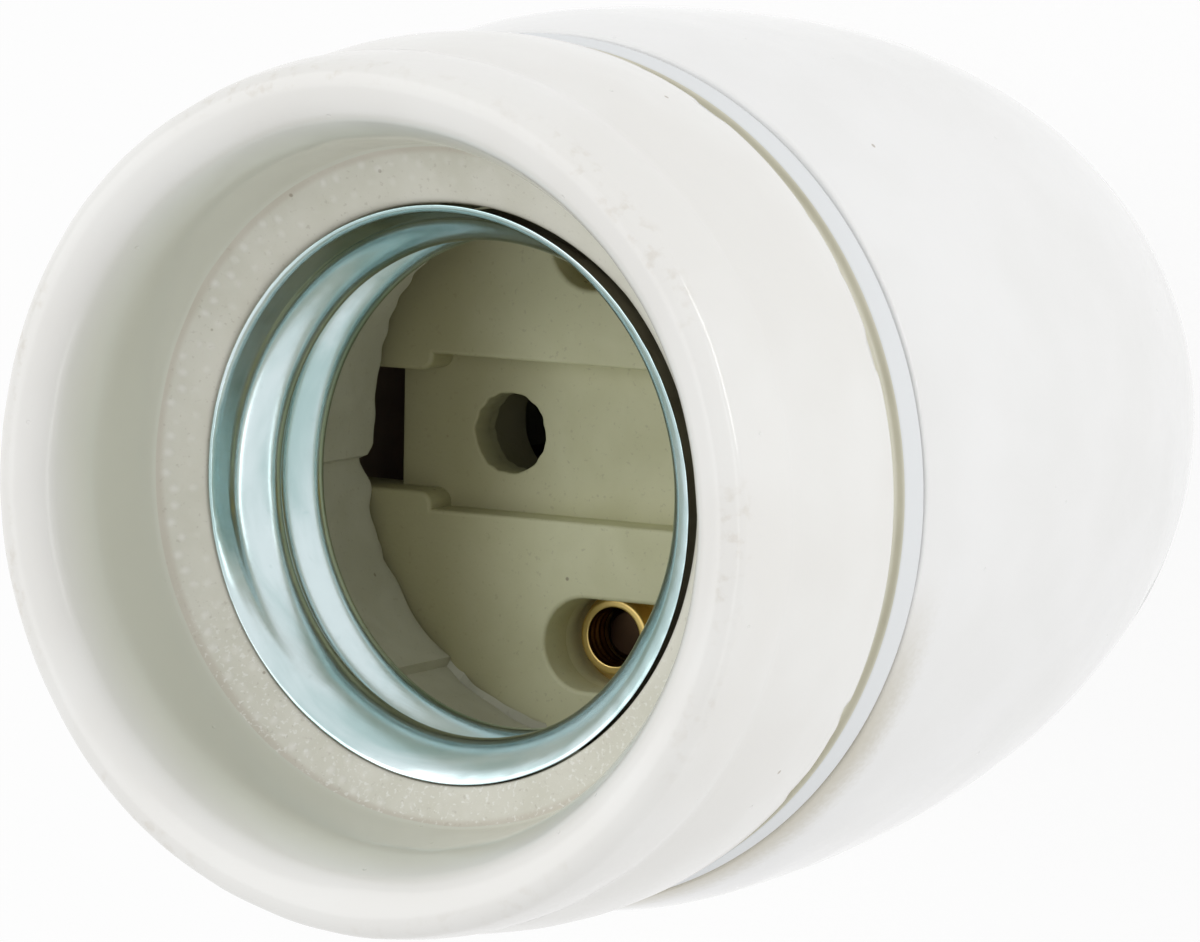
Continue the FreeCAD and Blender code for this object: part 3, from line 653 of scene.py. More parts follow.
class Skin(Enum):
    """The finishes that the lamp holder has."""

    RING_GLAZE = Glaze("ring_glaze", (0.87, 0.865, 0.84), (0.84, 0.83, 0.80), 0.18,
                       thin_r=17.2 * MM, stain_inner_r=20.2 * MM, stain_outer_r=20.9 * MM,
                       stain_z=61.8 * MM)
    DOME_GLAZE = Glaze("dome_glaze", (0.89, 0.89, 0.885), (0.86, 0.86, 0.85), edge_z=45.0 * MM)
    RING_BISQUE = Bisque("ring_bisque", (0.55, 0.54, 0.44), (0.48, 0.47, 0.37))
    # painted shade: dark brown for the wiring room's upper wall, standing in for its deep shade
    ROOM_BISQUE = Bisque("room_painted_shade", (0.24, 0.18, 0.12), (0.18, 0.13, 0.09))
    ANNULUS = BeadedBisque("annulus_bisque", (0.73, 0.72, 0.64), (0.66, 0.65, 0.56),
                           grain=0.03 * MM)
    # the insert's bisque carries painted shade on its -X side
    INSERT_BISQUE = Bisque("insert_bisque", (0.72, 0.71, 0.48), (0.66, 0.65, 0.42), painted_shade_side=True)
    ZINC = Metal("zinc_plate", (0.66, 0.77, 0.79), (0.42, 0.57, 0.57), 0.20)
    # painted shade: dull dark brown without metal, standing in for the shaded back of the shell
    ZINC_BACK = Bisque("zinc_back_painted_shade", (0.34, 0.31, 0.22), (0.24, 0.21, 0.14))
    ZINC_HEM = Metal("zinc_hem", (0.56, 0.56, 0.47), (0.44, 0.44, 0.36), 0.40)
    BRASS = Metal("terminal_brass", (0.44, 0.28, 0.06), (0.27, 0.15, 0.035), 0.32)
    BRASS_BORE = Metal("brass_bore", (0.22, 0.12, 0.04), (0.12, 0.06, 0.02), 0.30)
    OLD_STEEL = Metal("tarnished_steel", (0.12, 0.07, 0.04), (0.05, 0.03, 0.02), 0.30)
    STEEL = Metal("screw_steel", (0.62, 0.62, 0.60), (0.45, 0.44, 0.41), 0.30)
    SEAL = Rubber("seal_grey", (0.63, 0.64, 0.615), (0.58, 0.59, 0.565))
    # beige tone of the recessed ledge under the ring's rear edge
    SEAL_DUST = Rubber("seal_ledge_beige", (0.74, 0.72, 0.61), (0.66, 0.64, 0.53))

    def material(self) -> bpy.types.Material:
        """The finish's material, made once."""
        return bpy.data.materials.get(self.value.name) or self.value.material()


# ---------------------------------------------------------------- shapes


class Ripple:
    """Smooth unevenness of a hand-finished surface, the same on every run."""

    def __init__(self, seed: int, height: float, size: float, waves: int = 20) -> None:
        """Choose the waves.

        Args:
            seed: Seed of the random choice.
            height: Typical height of the unevenness.
            size: Typical length of a wave.
            waves: Number of waves that are added up.
        """
        rng = np.random.default_rng(seed)
        ways = rng.normal(size=(waves, 3))
        ways /= np.linalg.norm(ways, axis=1)[:, None]
        self.pull = ways * (2 * math.pi / size) * rng.uniform(0.6, 1.5, (waves, 1))
        self.phase = rng.uniform(0, 2 * math.pi, waves)
        self.height = height * math.sqrt(2 / waves)

    def at(self, x: np.ndarray, y: np.ndarray, z: np.ndarray) -> np.ndarray:
        """Height of the unevenness.

        Args:
            x: First coordinates.
            y: Second coordinates.
            z: Third coordinates.

        Returns:
            Heights, in the shape that the coordinates broadcast to.
        """
        total = np.zeros(np.broadcast(x, y, z).shape)
        for (a, b, c), phase in zip(self.pull, self.phase):
            total += np.sin(a * x + b * y + c * z + phase)
        return total * self.height


@dataclass(frozen=True)
class RoundTable:
    """A value given at some angles round the lamp axis, in degrees, and straight in between."""

    degrees: tuple[float, ...]
    values: tuple[float, ...]
    unit: float = 1.0

    def at(self, angle: np.ndarray) -> np.ndarray:
        """The value at angles in radians."""
        return np.interp(np.degrees(angle) % 360.0, self.degrees, np.array(self.values) * self.unit)


def arc(start: Point, via: Point, end: Point, steps: int) -> list[Point]:
    """Points on the arc from one point through another to a third, without the first.

    Args:
        start: First point.
        via: A point on the way.
        end: Last point.
        steps: Number of points.

    Returns:
        The points after the first, the last one included.
    """
    a, b, c = (complex(*p) for p in (start, via, end))
    w = (c - a) / (b - a)
    centre = (b - a) * (w - abs(w) ** 2) / (2j * w.imag) + a
    radius = abs(a - centre)
    first = math.atan2((a - centre).imag, (a - centre).real)
    sweep = math.atan2((c - centre).imag, (c - centre).real) - first
    middle = (math.atan2((b - centre).imag, (b - centre).real) - first) % (2 * math.pi)
    sweep %= 2 * math.pi
    if middle > sweep:
        sweep -= 2 * math.pi
    angles = [first + sweep * k / steps for k in range(1, steps + 1)]
    return [(centre.real + radius * math.cos(t), centre.imag + radius * math.sin(t)) for t in angles]


def circle(centre: Point, radius: float, steps: int = 96) -> list[Point]:
    """Points of a full circle.

    Args:
        centre: Its centre.
        radius: Its radius.
        steps: Number of points.

    Returns:
        The points, in turn.
    """
    turns = [2 * math.pi * k / steps for k in range(steps)]
    return [(centre[0] + radius * math.cos(t), centre[1] + radius * math.sin(t)) for t in turns]


class Profile:
    """Half section of a turned piece, drawn from point to point as radius and height."""

    rounding_share = 0.45  # most of a stretch that the rounding of one corner takes up

    def __init__(self, radius: float, height: float, soft: float = 0.0) -> None:
        """Start at a corner.

        Args:
            radius: Radius of the first corner.
            height: Height of the first corner.
            soft: Rounding of the first corner.
        """
        self.points: list[Point] = [(radius, height)]
        self.softs: list[float] = [soft]
        self.skins: list[Skin] = []
        self.heading = Vector((1.0, 0.0))

    def line(self, radius: float, height: float, skin: Skin, soft: float = 0.0) -> "Profile":
        """Go straight to the next corner.

        Args:
            radius: Radius of that corner.
            height: Height of that corner.
            skin: Finish of the stretch.
            soft: Rounding of that corner.

        Returns:
            The profile itself.
        """
        self.heading = (Vector((radius, height)) - Vector(self.points[-1])).normalized()
        self.points.append((radius, height))
        self.softs.append(soft)
        self.skins.append(skin)
        return self

    def curve(self, via: Point, end: Point, skin: Skin, steps: int = 12,
              soft: float = 0.0) -> "Profile":
        """Go to the next corner on an arc.

        Args:
            via: A point on the arc.
            end: The corner where the arc ends.
            skin: Finish of the stretch.
            steps: Number of pieces that the arc is cut into.
            soft: Rounding of that corner.

        Returns:
            The profile itself.
        """
        points = arc(self.points[-1], via, end, steps)
        for point in points[:-1]:
            self.line(*point, skin)
        before = self.heading
        self.line(*points[-1], skin, soft)
        # the arc ends half a step further round than its last piece points
        self.heading = (self.heading * 1.5 - before * 0.5).normalized()
        return self

    def smooth(self, end: Point, skin: Skin, steps: int = 12) -> "Profile":
        """Go to the next corner on an arc that carries on without a kink.

        Args:
            end: The corner where the arc ends.
            skin: Finish of the stretch.
            steps: Number of pieces that the arc is cut into.

        Returns:
            The profile itself.
        """
        here, there = Vector(self.points[-1]), Vector(end)
        chord, side = there - here, Vector((-self.heading.y, self.heading.x))
        radius = chord.length_squared / (2 * chord.dot(side))
        centre = here + side * radius
        via = centre + ((here + there) / 2 - centre).normalized() * abs(radius)
        return self.curve(tuple(via), end, skin, steps)

    def close(self, skin: Skin) -> "Profile":
        """Go straight back to the first corner."""
        self.skins.append(skin)
        return self

    def _rounded(self) -> tuple[list[Point], list[Skin]]:
        """The corners and stretches with each soft corner rounded off.

        Returns:
            The corners, and the finish of the stretch after each.
        """
        points, skins = [], []
        count = len(self.points)
        for k in range(count):
            here, soft = Vector(self.points[k]), self.softs[k]
            if not soft:
                points.append(tuple(here))
                skins.append(self.skins[k])
                continue
            back, ahead = Vector(self.points[k - 1]) - here, Vector(self.points[(k + 1) % count]) - here
            reach = min(soft, self.rounding_share * back.length, self.rounding_share * ahead.length)
            start, end = here + back.normalized() * reach, here + ahead.normalized() * reach
            for share in (0.0, 0.25, 0.5, 0.75, 1.0):
                low, high = start.lerp(here, share), here.lerp(end, share)
                points.append(tuple(low.lerp(high, share)))
                skins.append(self.skins[k - 1] if share < 0.5 else self.skins[k])
        return points, skins

    def stations(self, step: float) -> tuple[np.ndarray, list[Skin]]:
        """The rounded outline, cut into short pieces.

        Args:
            step: Longest piece.

        Returns:
            Radius and height of each station, and the finish of the piece after it. The
            outline runs with the solid on its left.
        """
        corners, skins = self._rounded()
        rows, finishes = [], []
        for k, (radius, height) in enumerate(corners):
            far_radius, far_height = corners[(k + 1) % len(corners)]
            pieces = max(1, math.ceil(math.hypot(far_radius - radius, far_height - height) / step))
            for part in range(pieces):
                share = part / pieces
                rows.append((radius + (far_radius - radius) * share,
                             height + (far_height - height) * share))
                finishes.append(skins[k])
        table = np.array(rows)
        ahead = np.roll(table, -1, axis=0)
        area = np.sum(table[:, 0] * ahead[:, 1] - ahead[:, 0] * table[:, 1])
        if area < 0:
            table = table[::-1]
            finishes = finishes[-2::-1] + finishes[-1:]
        return table, finishes


def placed(name: str, mesh: bpy.types.Mesh) -> bpy.types.Object:
    """Shade a mesh smooth between its sharp edges and put it in the scene.

    Args:
        name: Name of the object.
        mesh: Its mesh.

    Returns:
        The object, linked to the scene.
    """
    mesh.polygons.foreach_set("use_smooth", np.ones(len(mesh.polygons), dtype=bool))
    mesh.set_sharp_from_angle(angle=SHARP_ANGLE)
    thing = bpy.data.objects.new(name, mesh)
    bpy.context.scene.collection.objects.link(thing)
    return thing


def mesh_object(name: str, verts: np.ndarray, faces: Sequence[Sequence[int]],
                skins: Sequence[Skin], picks: Sequence[int]) -> bpy.types.Object:
    """Make a smooth-shaded mesh object.

    Args:
        name: Name of the object.
        verts: Vertex places, one row each.
        faces: Vertex numbers of each face.
        skins: Finishes of the object.
        picks: For each face, which of those finishes it has.

    Returns:
        The object, linked to the scene.
    """
    mesh = bpy.data.meshes.new(name)
    mesh.from_pydata(verts.tolist(), [], faces)
    for skin in skins:
        mesh.materials.append(skin.material())
    mesh.polygons.foreach_set("material_index", np.array(picks, dtype=np.int32))
    mesh.validate()
    return placed(name, mesh)


def turned(name: str, profile: Profile, spokes: int, step: float,
           shaping: Shaping | None = None) -> bpy.types.Object:
    """Turn a profile about the lamp axis.

    Args:
        name: Name of the object.
        profile: Closed half section.
        spokes: Number of steps round the axis.
        step: Longest step along the profile.
        shaping: Function of angle, radius and height that gives the final radius and height.

    Returns:
        The turned object.
    """
    table, finishes = profile.stations(step)
    angle = np.linspace(0, 2 * math.pi, spokes, endpoint=False)[None, :]
    radius, height = table[:, :1], table[:, 1:]
    if shaping is not None:
        radius, height = shaping(angle, radius, height)
    shape = (len(table), spokes)
    radius, height = np.broadcast_to(radius, shape), np.broadcast_to(height, shape)
    verts = np.stack([radius * np.cos(angle), radius * np.sin(angle), height], axis=2)
    rows = np.arange(len(table))[:, None]
    ahead = (rows + 1) % len(table)
    here = np.arange(spokes)[None, :]
    beside = (here + 1) % spokes
    faces = np.stack([rows * spokes + here, rows * spokes + beside,
                      ahead * spokes + beside, ahead * spokes + here], axis=2).reshape(-1, 4)
    skins = list(dict.fromkeys(finishes))
    picks = np.repeat([skins.index(skin) for skin in finishes], spokes)
    return mesh_object(name, verts.reshape(-1, 3), faces.tolist(), skins, picks)


def cut_slab(name: str, edge: Sequence[Point], holes: Sequence[Sequence[Point]], low: float,
             high: float, soft: float, skin: Skin) -> bpy.types.Object:
    """Make a flat slab with holes and softened edges.

    Args:
        name: Name of the object.
        edge: Outline of the slab.
        holes: Outlines of its holes.
        low: Height of its underside.
        high: Height of its top.
        soft: Rounding of its edges.
        skin: Its finish.

    Returns:
        The slab.
    """
    curve = bpy.data.curves.new(name, "CURVE")
    curve.dimensions = "2D"
    curve.fill_mode = "BOTH"
    curve.extrude = (high - low) / 2 - soft
    curve.bevel_depth = soft
    curve.bevel_resolution = 3
    curve.offset = -soft
    for outline in (edge, *holes):
        spline = curve.splines.new("POLY")
        spline.points.add(len(outline) - 1)
        for spot, (x, y) in zip(spline.points, outline):
            spot.co = (x, y, 0.0, 1.0)
        spline.use_cyclic_u = True
    helper = bpy.data.objects.new(name, curve)
    bpy.context.scene.collection.objects.link(helper)
    bpy.context.view_layer.update()
    graph = bpy.context.evaluated_depsgraph_get()
    mesh = bpy.data.meshes.new_from_object(helper.evaluated_get(graph))
    bpy.data.objects.remove(helper)
    bpy.data.curves.remove(curve)
    mesh.transform(Matrix.Translation((0, 0, (low + high) / 2)))
    mesh.materials.clear()
    mesh.materials.append(skin.material())
    return placed(name, mesh)


def joined(name: str, parts: Sequence[bpy.types.Object]) -> bpy.types.Object:
    """Join several mesh objects into one.

    Args:
        name: Name of the joined object.
        parts: The objects to join. They are used up.

    Returns:
        The joined object.
    """
    with bpy.context.temp_override(active_object=parts[0], object=parts[0],
                                   selected_objects=list(parts),
                                   selected_editable_objects=list(parts)):
        bpy.ops.object.join()
    parts[0].name = name
    parts[0].data.name = name
    return parts[0]


def seat(piece: bpy.types.Object, body: str, slot: str, *nodes: str) -> None:
    """Let a piece stand for CAD nodes and move with a body.

    Args:
        piece: The piece.
        body: Body that it rides on.
        slot: Slot of the record; not used.
        nodes: CAD nodes that it replaces.
    """
    if nodes:
        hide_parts(*nodes)
    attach(piece, body)
    log.info("%s: %d faces on %s", piece.name, len(piece.data.polygons), body)


# ---------------------------------------------------------------- front ring


@dataclass
class FrontRing:
    """The glazed ring: flared lip, bowl, bare annulus and the collar that screws into the dome."""

    lip_top: float
    lip_crest_r: float = 20.03 * MM
    lip_out: Point = (21.07 * MM, 61.93 * MM)
    lip_round: Point = (21.33 * MM, 60.4 * MM)
    shoulder: Point = (21.36 * MM, 57.95 * MM)
    belly_r: float = 21.94 * MM
    rear_r: float = 21.7 * MM
    rear_z: float = 48.6 * MM
    rear_bevel: float = 0.35 * MM
    flare: Point = (18.08 * MM, 61.49 * MM)
    crease: Point = (17.15 * MM, 59.5 * MM)
    bowl_foot: Point = (16.65 * MM, 55.1 * MM)
    bore_r: float = 14.4 * MM
    bore_z: float = 54.0 * MM
    bore_shift: Point = BORE_SHIFT
    bore_zone: float = 0.4 * MM
    annulus_zone: float = 0.6 * MM
    annulus_past: float = 0.1 * MM
    annulus_tilt: float = 0.25 * MM
    annulus_high: float = math.radians(14)
    annulus_gap: RoundTable = RoundTable((0, 30, 45, 75, 95, 225, 300, 320, 360),
                                         (0.12, 0.2, 0.28, 0.15, 0, 0, 0.03, 0.08, 0.12), MM)
    annulus_bank: RoundTable = RoundTable((0, 45, 90, 135, 200, 250, 290, 320, 345, 360),
                                          (0.7, 0.5, 0.5, 0, 0, 0.3, 0.7, 0.9, 0.85, 0.7), MM)
    seat_z: float = 46.44 * MM
    collar_r: float = 17.1 * MM
    collar_lead: float = 0.5 * MM
    wall_r: float = 13.35 * MM
    collar_z: float = 39.68 * MM
    collar_cut: RoundTable = RoundTable((0, 60, 95, 142, 181, 183, 231, 360),
                                        (0, 0.3, 1.9, 1.7, 0.1, 0.5, 0.2, 0), MM)
    collar_cut_zone: float = 2.5 * MM
    step_z: float = 45.98 * MM
    step_zone: float = 0.6 * MM
    step_depth: float = 0.5 * MM
    step_edge: float = 0.35
    step_turns: Triple = (3.0, 51.0, 95.0)
    plain_zone: float = 0.5 * MM
    chip_zone: float = 0.6 * MM
    chip_least: float = 0.08 * MM
    chip_most: float = 0.2 * MM

    def profile(self) -> Profile:
        """Half section of the ring.

        Returns:
            The closed half section.
        """
        glaze, bare, annulus = Skin.RING_GLAZE, Skin.RING_BISQUE, Skin.ANNULUS
        belly = (self.belly_r, (self.shoulder[1] + self.rear_z) / 2)
        outline = Profile(self.bore_r, self.bore_z, soft=0.3 * MM)
        outline.line(*self.bowl_foot, annulus, soft=0.45 * MM)
        outline.line(*self.crease, glaze, soft=0.7 * MM)
        outline.line(*self.flare, glaze)
        outline.smooth((self.lip_crest_r, self.lip_top), glaze, steps=16)
        outline.smooth(self.lip_out, glaze, steps=12)
        outline.curve(self.lip_round, self.shoulder, glaze, steps=14)
        outline.curve(belly, (self.rear_r, self.rear_z + self.rear_bevel), glaze, steps=24,
                      soft=0.12 * MM)
        outline.line(self.rear_r - self.rear_bevel, self.rear_z, bare, soft=0.1 * MM)
        outline.line(self.collar_r, self.rear_z, bare)
        outline.line(self.collar_r, self.collar_z + self.collar_lead, bare, soft=0.1 * MM)
        outline.line(self.collar_r - self.collar_lead, self.collar_z, bare, soft=0.1 * MM)
        outline.line(self.wall_r, self.collar_z, bare, soft=0.2 * MM)
        outline.line(self.wall_r, self.step_z, bare)
        outline.line(self.wall_r, self.seat_z, bare)
        outline.line(self.bore_r, self.seat_z, bare)
        return outline.close(bare)

    def steps(self, angle: np.ndarray) -> np.ndarray:
        """Depth of the shallow steps in the collar's inner wall, which come twice in a turn.

        Args:
            angle: Angles round the lamp axis.

        Returns:
            The depths.
        """
        turn = np.degrees(angle) % 180.0
        first, second, last = (np.clip((turn - start) / self.step_edge, 0, 1)
                               for start in self.step_turns)
        return (first + second - 2 * last) * self.step_depth

    def drift(self, angle: np.ndarray) -> np.ndarray:
        """How far the bore's wall lies out, since the bore is off the lamp axis."""
        return self.bore_shift[0] * np.cos(angle) + self.bore_shift[1] * np.sin(angle)

    def shape(self, angle: np.ndarray, radius: np.ndarray,
              height: np.ndarray) -> tuple[np.ndarray, np.ndarray]:
        """Give the ring its steps, its chipped edges and its unevenness.

        The annulus closes up on the shell's rim and rises to it on one side, the bore under
        it follows the shell, and the collar's rear edge is cut back raggedly.

        Args:
            angle: Angles round the lamp axis.
            radius: Radii of the plain piece.
            height: Heights of the plain piece.

        Returns:
            Radii and heights of the finished piece.
        """
        inside = (radius < self.wall_r + self.step_zone) & (height < self.step_z + TOUCH)
        bore = (radius < self.bore_r + self.bore_zone) & (radius > self.wall_r + TOUCH) \
            & (height > self.seat_z - TOUCH)
        annulus = (radius < self.bowl_foot[0] + self.annulus_past) \
            & (height < self.bowl_foot[1] + self.annulus_past) \
            & (height > self.bore_z - self.annulus_zone)
        free = (radius > self.bore_r + self.plain_zone) & (height > self.rear_z + self.plain_zone)
        rear = (radius > self.rear_r - self.chip_zone) & (height < self.rear_z + self.chip_zone)

        x, y = radius * np.cos(angle), radius * np.sin(angle)
        wave = Ripple(seed=3, height=0.035 * MM, size=16 * MM).at(x, y, height)
        small = Ripple(seed=5, height=0.008 * MM, size=3.5 * MM).at(x, y, height)
        flakes = Ripple(seed=8, height=0.09 * MM, size=2.2 * MM).at(x, y, height)
        chips = np.clip(flakes - self.chip_least, 0, self.chip_most)
        ragged = Ripple(seed=11, height=0.16 * MM, size=1.9 * MM).at(x, y, 0 * height)
        reach = np.clip((self.bowl_foot[0] - radius) / (self.bowl_foot[0] - self.bore_r), 0, 1)
        closing = (RIM_R + self.drift(angle) + self.annulus_gap.at(angle) - self.bore_r) * reach
        tilt = self.annulus_tilt * np.cos(angle - self.annulus_high)
        rise = (tilt + self.annulus_bank.at(angle)) * reach
        end = np.clip((self.collar_z + self.collar_cut_zone - height) / self.collar_cut_zone, 0, 1)

        radius = radius + np.where(inside, self.steps(angle), 0.0)
        radius = radius + np.where(annulus, closing, np.where(bore, self.drift(angle), 0.0))
        radius = radius + np.where(free, wave + small, 0.0) - np.where(rear, chips, 0.0)
        collar = radius < self.collar_r - self.collar_lead
        height = height + np.where(annulus, rise, 0.0)
        height = height + np.where(collar, (self.collar_cut.at(angle) + ragged) * end, 0.0)
        return radius, height

    def build(self) -> bpy.types.Object:
        """Build the ring and seat it.

        Returns:
            The ring.
        """
        ring = turned("front_ring_body", self.profile(), spokes=480, step=0.5 * MM, shaping=self.shape)
        seat(ring, "ring", "ring_porcelain", "front_ring")
        return ring


# ---------------------------------------------------------------- threaded shell


@dataclass
class ThreadedShell:
    """Zinc-plated sheet with the lamp thread rolled in and a flared, slightly burred rim."""

    rim_z: float
    rim_r: float = RIM_R
    sheet: float = 0.15 * MM
    length: float = 7.5 * MM
    pitch: float = 3.629 * MM
    mean_r: float = 12.77 * MM
    wave: float = 0.64 * MM
    first_crest: float = 3.2 * MM
    run_in: float = math.radians(60)
    run_out: float = math.radians(330)
    steep_from: float = math.radians(188)
    steep_ramp: float = math.radians(45)
    flare: float = 0.42
    mouth_share: float = 0.8
    mouth_least: float = 0.1 * MM
    hem: float = 1.1
    hem_depth: float = 0.25 * MM
    hem_fade: float = 6.0
    hem_share: RoundTable = RoundTable((0, 75, 100, 170, 200, 230, 300, 330, 360),
                                       (1, 0.9, 0.5, 0.1, 0.1, 0.1, 0.3, 0.8, 1))
    hem_out: float = 0.04 * MM
    hem_z: float = 0.3 * MM
    burr_zone: float = 0.15 * MM
    edge: float = 0.1 * MM
    rim_edge: float = 0.08 * MM
    lean: float = math.radians(2.8)
    lean_way: float = math.radians(194)
    shift: Point = BORE_SHIFT

    def hem_draw(self, angle: np.ndarray, depth: np.ndarray) -> np.ndarray:
        """How far the sheet is drawn in below the rim, which leaves the rim as a flared hem.

        Args:
            angle: Angles round the shell's axis.
            depth: Depths below the rim.

        Returns:
            The distances.
        """
        lip = self.hem * np.minimum(depth - self.hem_depth, 0.0)
        fade = np.clip(1 - (depth - self.hem_depth) / (self.hem_fade * self.hem_depth), 0, 1)
        return self.hem_share.at(angle) * (lip + self.hem * self.hem_depth) * fade

    def inner_radius(self, angle: np.ndarray, depth: np.ndarray) -> np.ndarray:
        """Inner radius of the sheet.

        The mouth slopes in to the first crest of the thread. Its flank grows steep on one
        side, and the thread runs out into a plain cone where it reaches the rim.

        Args:
            angle: Angles round the shell's axis.
            depth: Depths below the rim.

        Returns:
            The radii.
        """
        around = np.where(angle < self.run_in, angle + 2 * math.pi, angle)
        crest = self.first_crest - self.pitch * (around - math.pi) / (2 * math.pi)
        thread = self.mean_r - self.wave * np.cos(2 * math.pi * (depth - crest) / self.pitch)
        mouth = self.rim_r - self.sheet
        outer, top = self.mean_r + self.wave, self.mean_r - self.wave

        start = np.maximum(self.mouth_share * (crest - self.pitch / 2), self.mouth_least)
        foot = mouth - np.minimum(self.flare * start, mouth - outer)
        flank = 0.5 - 0.5 * np.cos(math.pi * np.clip((depth - start) / (crest - start), 0, 1))
        rise = foot - (mouth - foot) * np.minimum(depth / start - 1.0, 0.0) - (foot - top) * flank
        steep = mouth - (mouth - top) * np.sin(math.pi / 2 * np.clip(depth / crest, 0, 1))
        rise = rise + np.clip((around - self.steep_from) / self.steep_ramp, 0, 1) * (steep - rise)
        sheet = np.where(depth < crest, rise, thread)

        fade = np.clip((around - self.run_out) / (2 * math.pi + self.run_in - self.run_out), 0, 1)
        groove = crest + self.pitch / 2
        plain = mouth - (mouth - outer) * np.minimum(depth / groove, 1.0)
        sheet = np.where(depth < groove, sheet + fade * (plain - sheet), sheet)
        return sheet - self.hem_draw(angle, depth)

    def shape(self, angle: np.ndarray, radius: np.ndarray,
              height: np.ndarray) -> tuple[np.ndarray, np.ndarray]:
        """Wrap the flat strip, drawn as offset and depth, onto the rolled thread.

        Args:
            angle: Angles round the lamp axis.
            radius: Radii of the plain piece.
            height: Heights of the plain piece.

        Returns:
            Radii and heights of the finished piece.
        """
        offset, depth = radius - self.rim_r, -height
        inner = self.inner_radius(angle, np.maximum(depth, 0.0))
        x, y = np.cos(angle) * self.rim_r, np.sin(angle) * self.rim_r
        burr = Ripple(seed=21, height=0.005 * MM, size=1.3 * MM).at(x, y, 0 * depth)
        dent = Ripple(seed=22, height=0.006 * MM, size=7 * MM).at(x, y, depth)
        height = height + np.where(depth < self.burr_zone, burr, 0.0)
        return inner + offset + dent, height

    def build(self) -> bpy.types.Object:
        """Build the shell, set it crooked in its bore and seat it.

        Returns:
            The shell.
        """
        outer = self.rim_r + self.sheet
        strip = Profile(self.rim_r, 0.0, soft=self.rim_edge)
        strip.line(self.rim_r, -self.length, Skin.ZINC, soft=self.edge)
        strip.line(outer, -self.length, Skin.ZINC, soft=self.edge)
        # the shell's outer face carries painted shade
        strip.line(outer, -2 * self.hem_z, Skin.ZINC_BACK, soft=self.edge)
        strip.line(outer + self.hem_out, -self.hem_z, Skin.ZINC_HEM, soft=self.edge)
        strip.line(outer, 0.0, Skin.ZINC_HEM, soft=self.rim_edge)
        strip.close(Skin.ZINC)
        shell = turned("threaded_shell_sheet", strip, spokes=480, step=0.12 * MM, shaping=self.shape)
        axis = Vector((-math.sin(self.lean_way), math.cos(self.lean_way), 0.0))
        place = Matrix.Translation((*self.shift, self.rim_z)) @ Matrix.Rotation(self.lean, 4, axis)
        shell.data.transform(place)
        seat(shell, "ring", "zinc_steel", "threaded_shell")
        return shell


# ---------------------------------------------------------------- seal ring and dome


@dataclass
class SealRing:
    """The smooth grey band between the two porcelain parts."""

    low: float
    high: float
    outer_r: float = 21.46 * MM
    foot_r: float = 21.62 * MM
    bore_r: float = 17.5 * MM
    shoulder_r: float = 20.95 * MM
    shoulder: float = 1.1 * MM
    edge: float = 0.2 * MM

    def build(self) -> bpy.types.Object:
        """Build the seal ring and seat it.

        Returns:
            The seal ring.
        """
        skin = Skin.SEAL
        outline = Profile(self.bore_r, self.low, soft=self.edge / 2)
        outline.line(self.foot_r, self.low, skin, soft=self.edge / 2)
        outline.line(self.outer_r, self.high - self.shoulder, skin, soft=self.edge)
        outline.line(self.shoulder_r, self.high - self.shoulder, Skin.SEAL_DUST, soft=self.edge)
        outline.line(self.shoulder_r, self.high, Skin.SEAL_DUST)
        outline.line(self.bore_r, self.high, skin, soft=self.edge / 2)
        outline.close(skin)
        ring = turned("seal_ring_band", outline, spokes=256, step=0.4 * MM)
        seat(ring, "seal", "seal_grey", "seal_ring")
        return ring


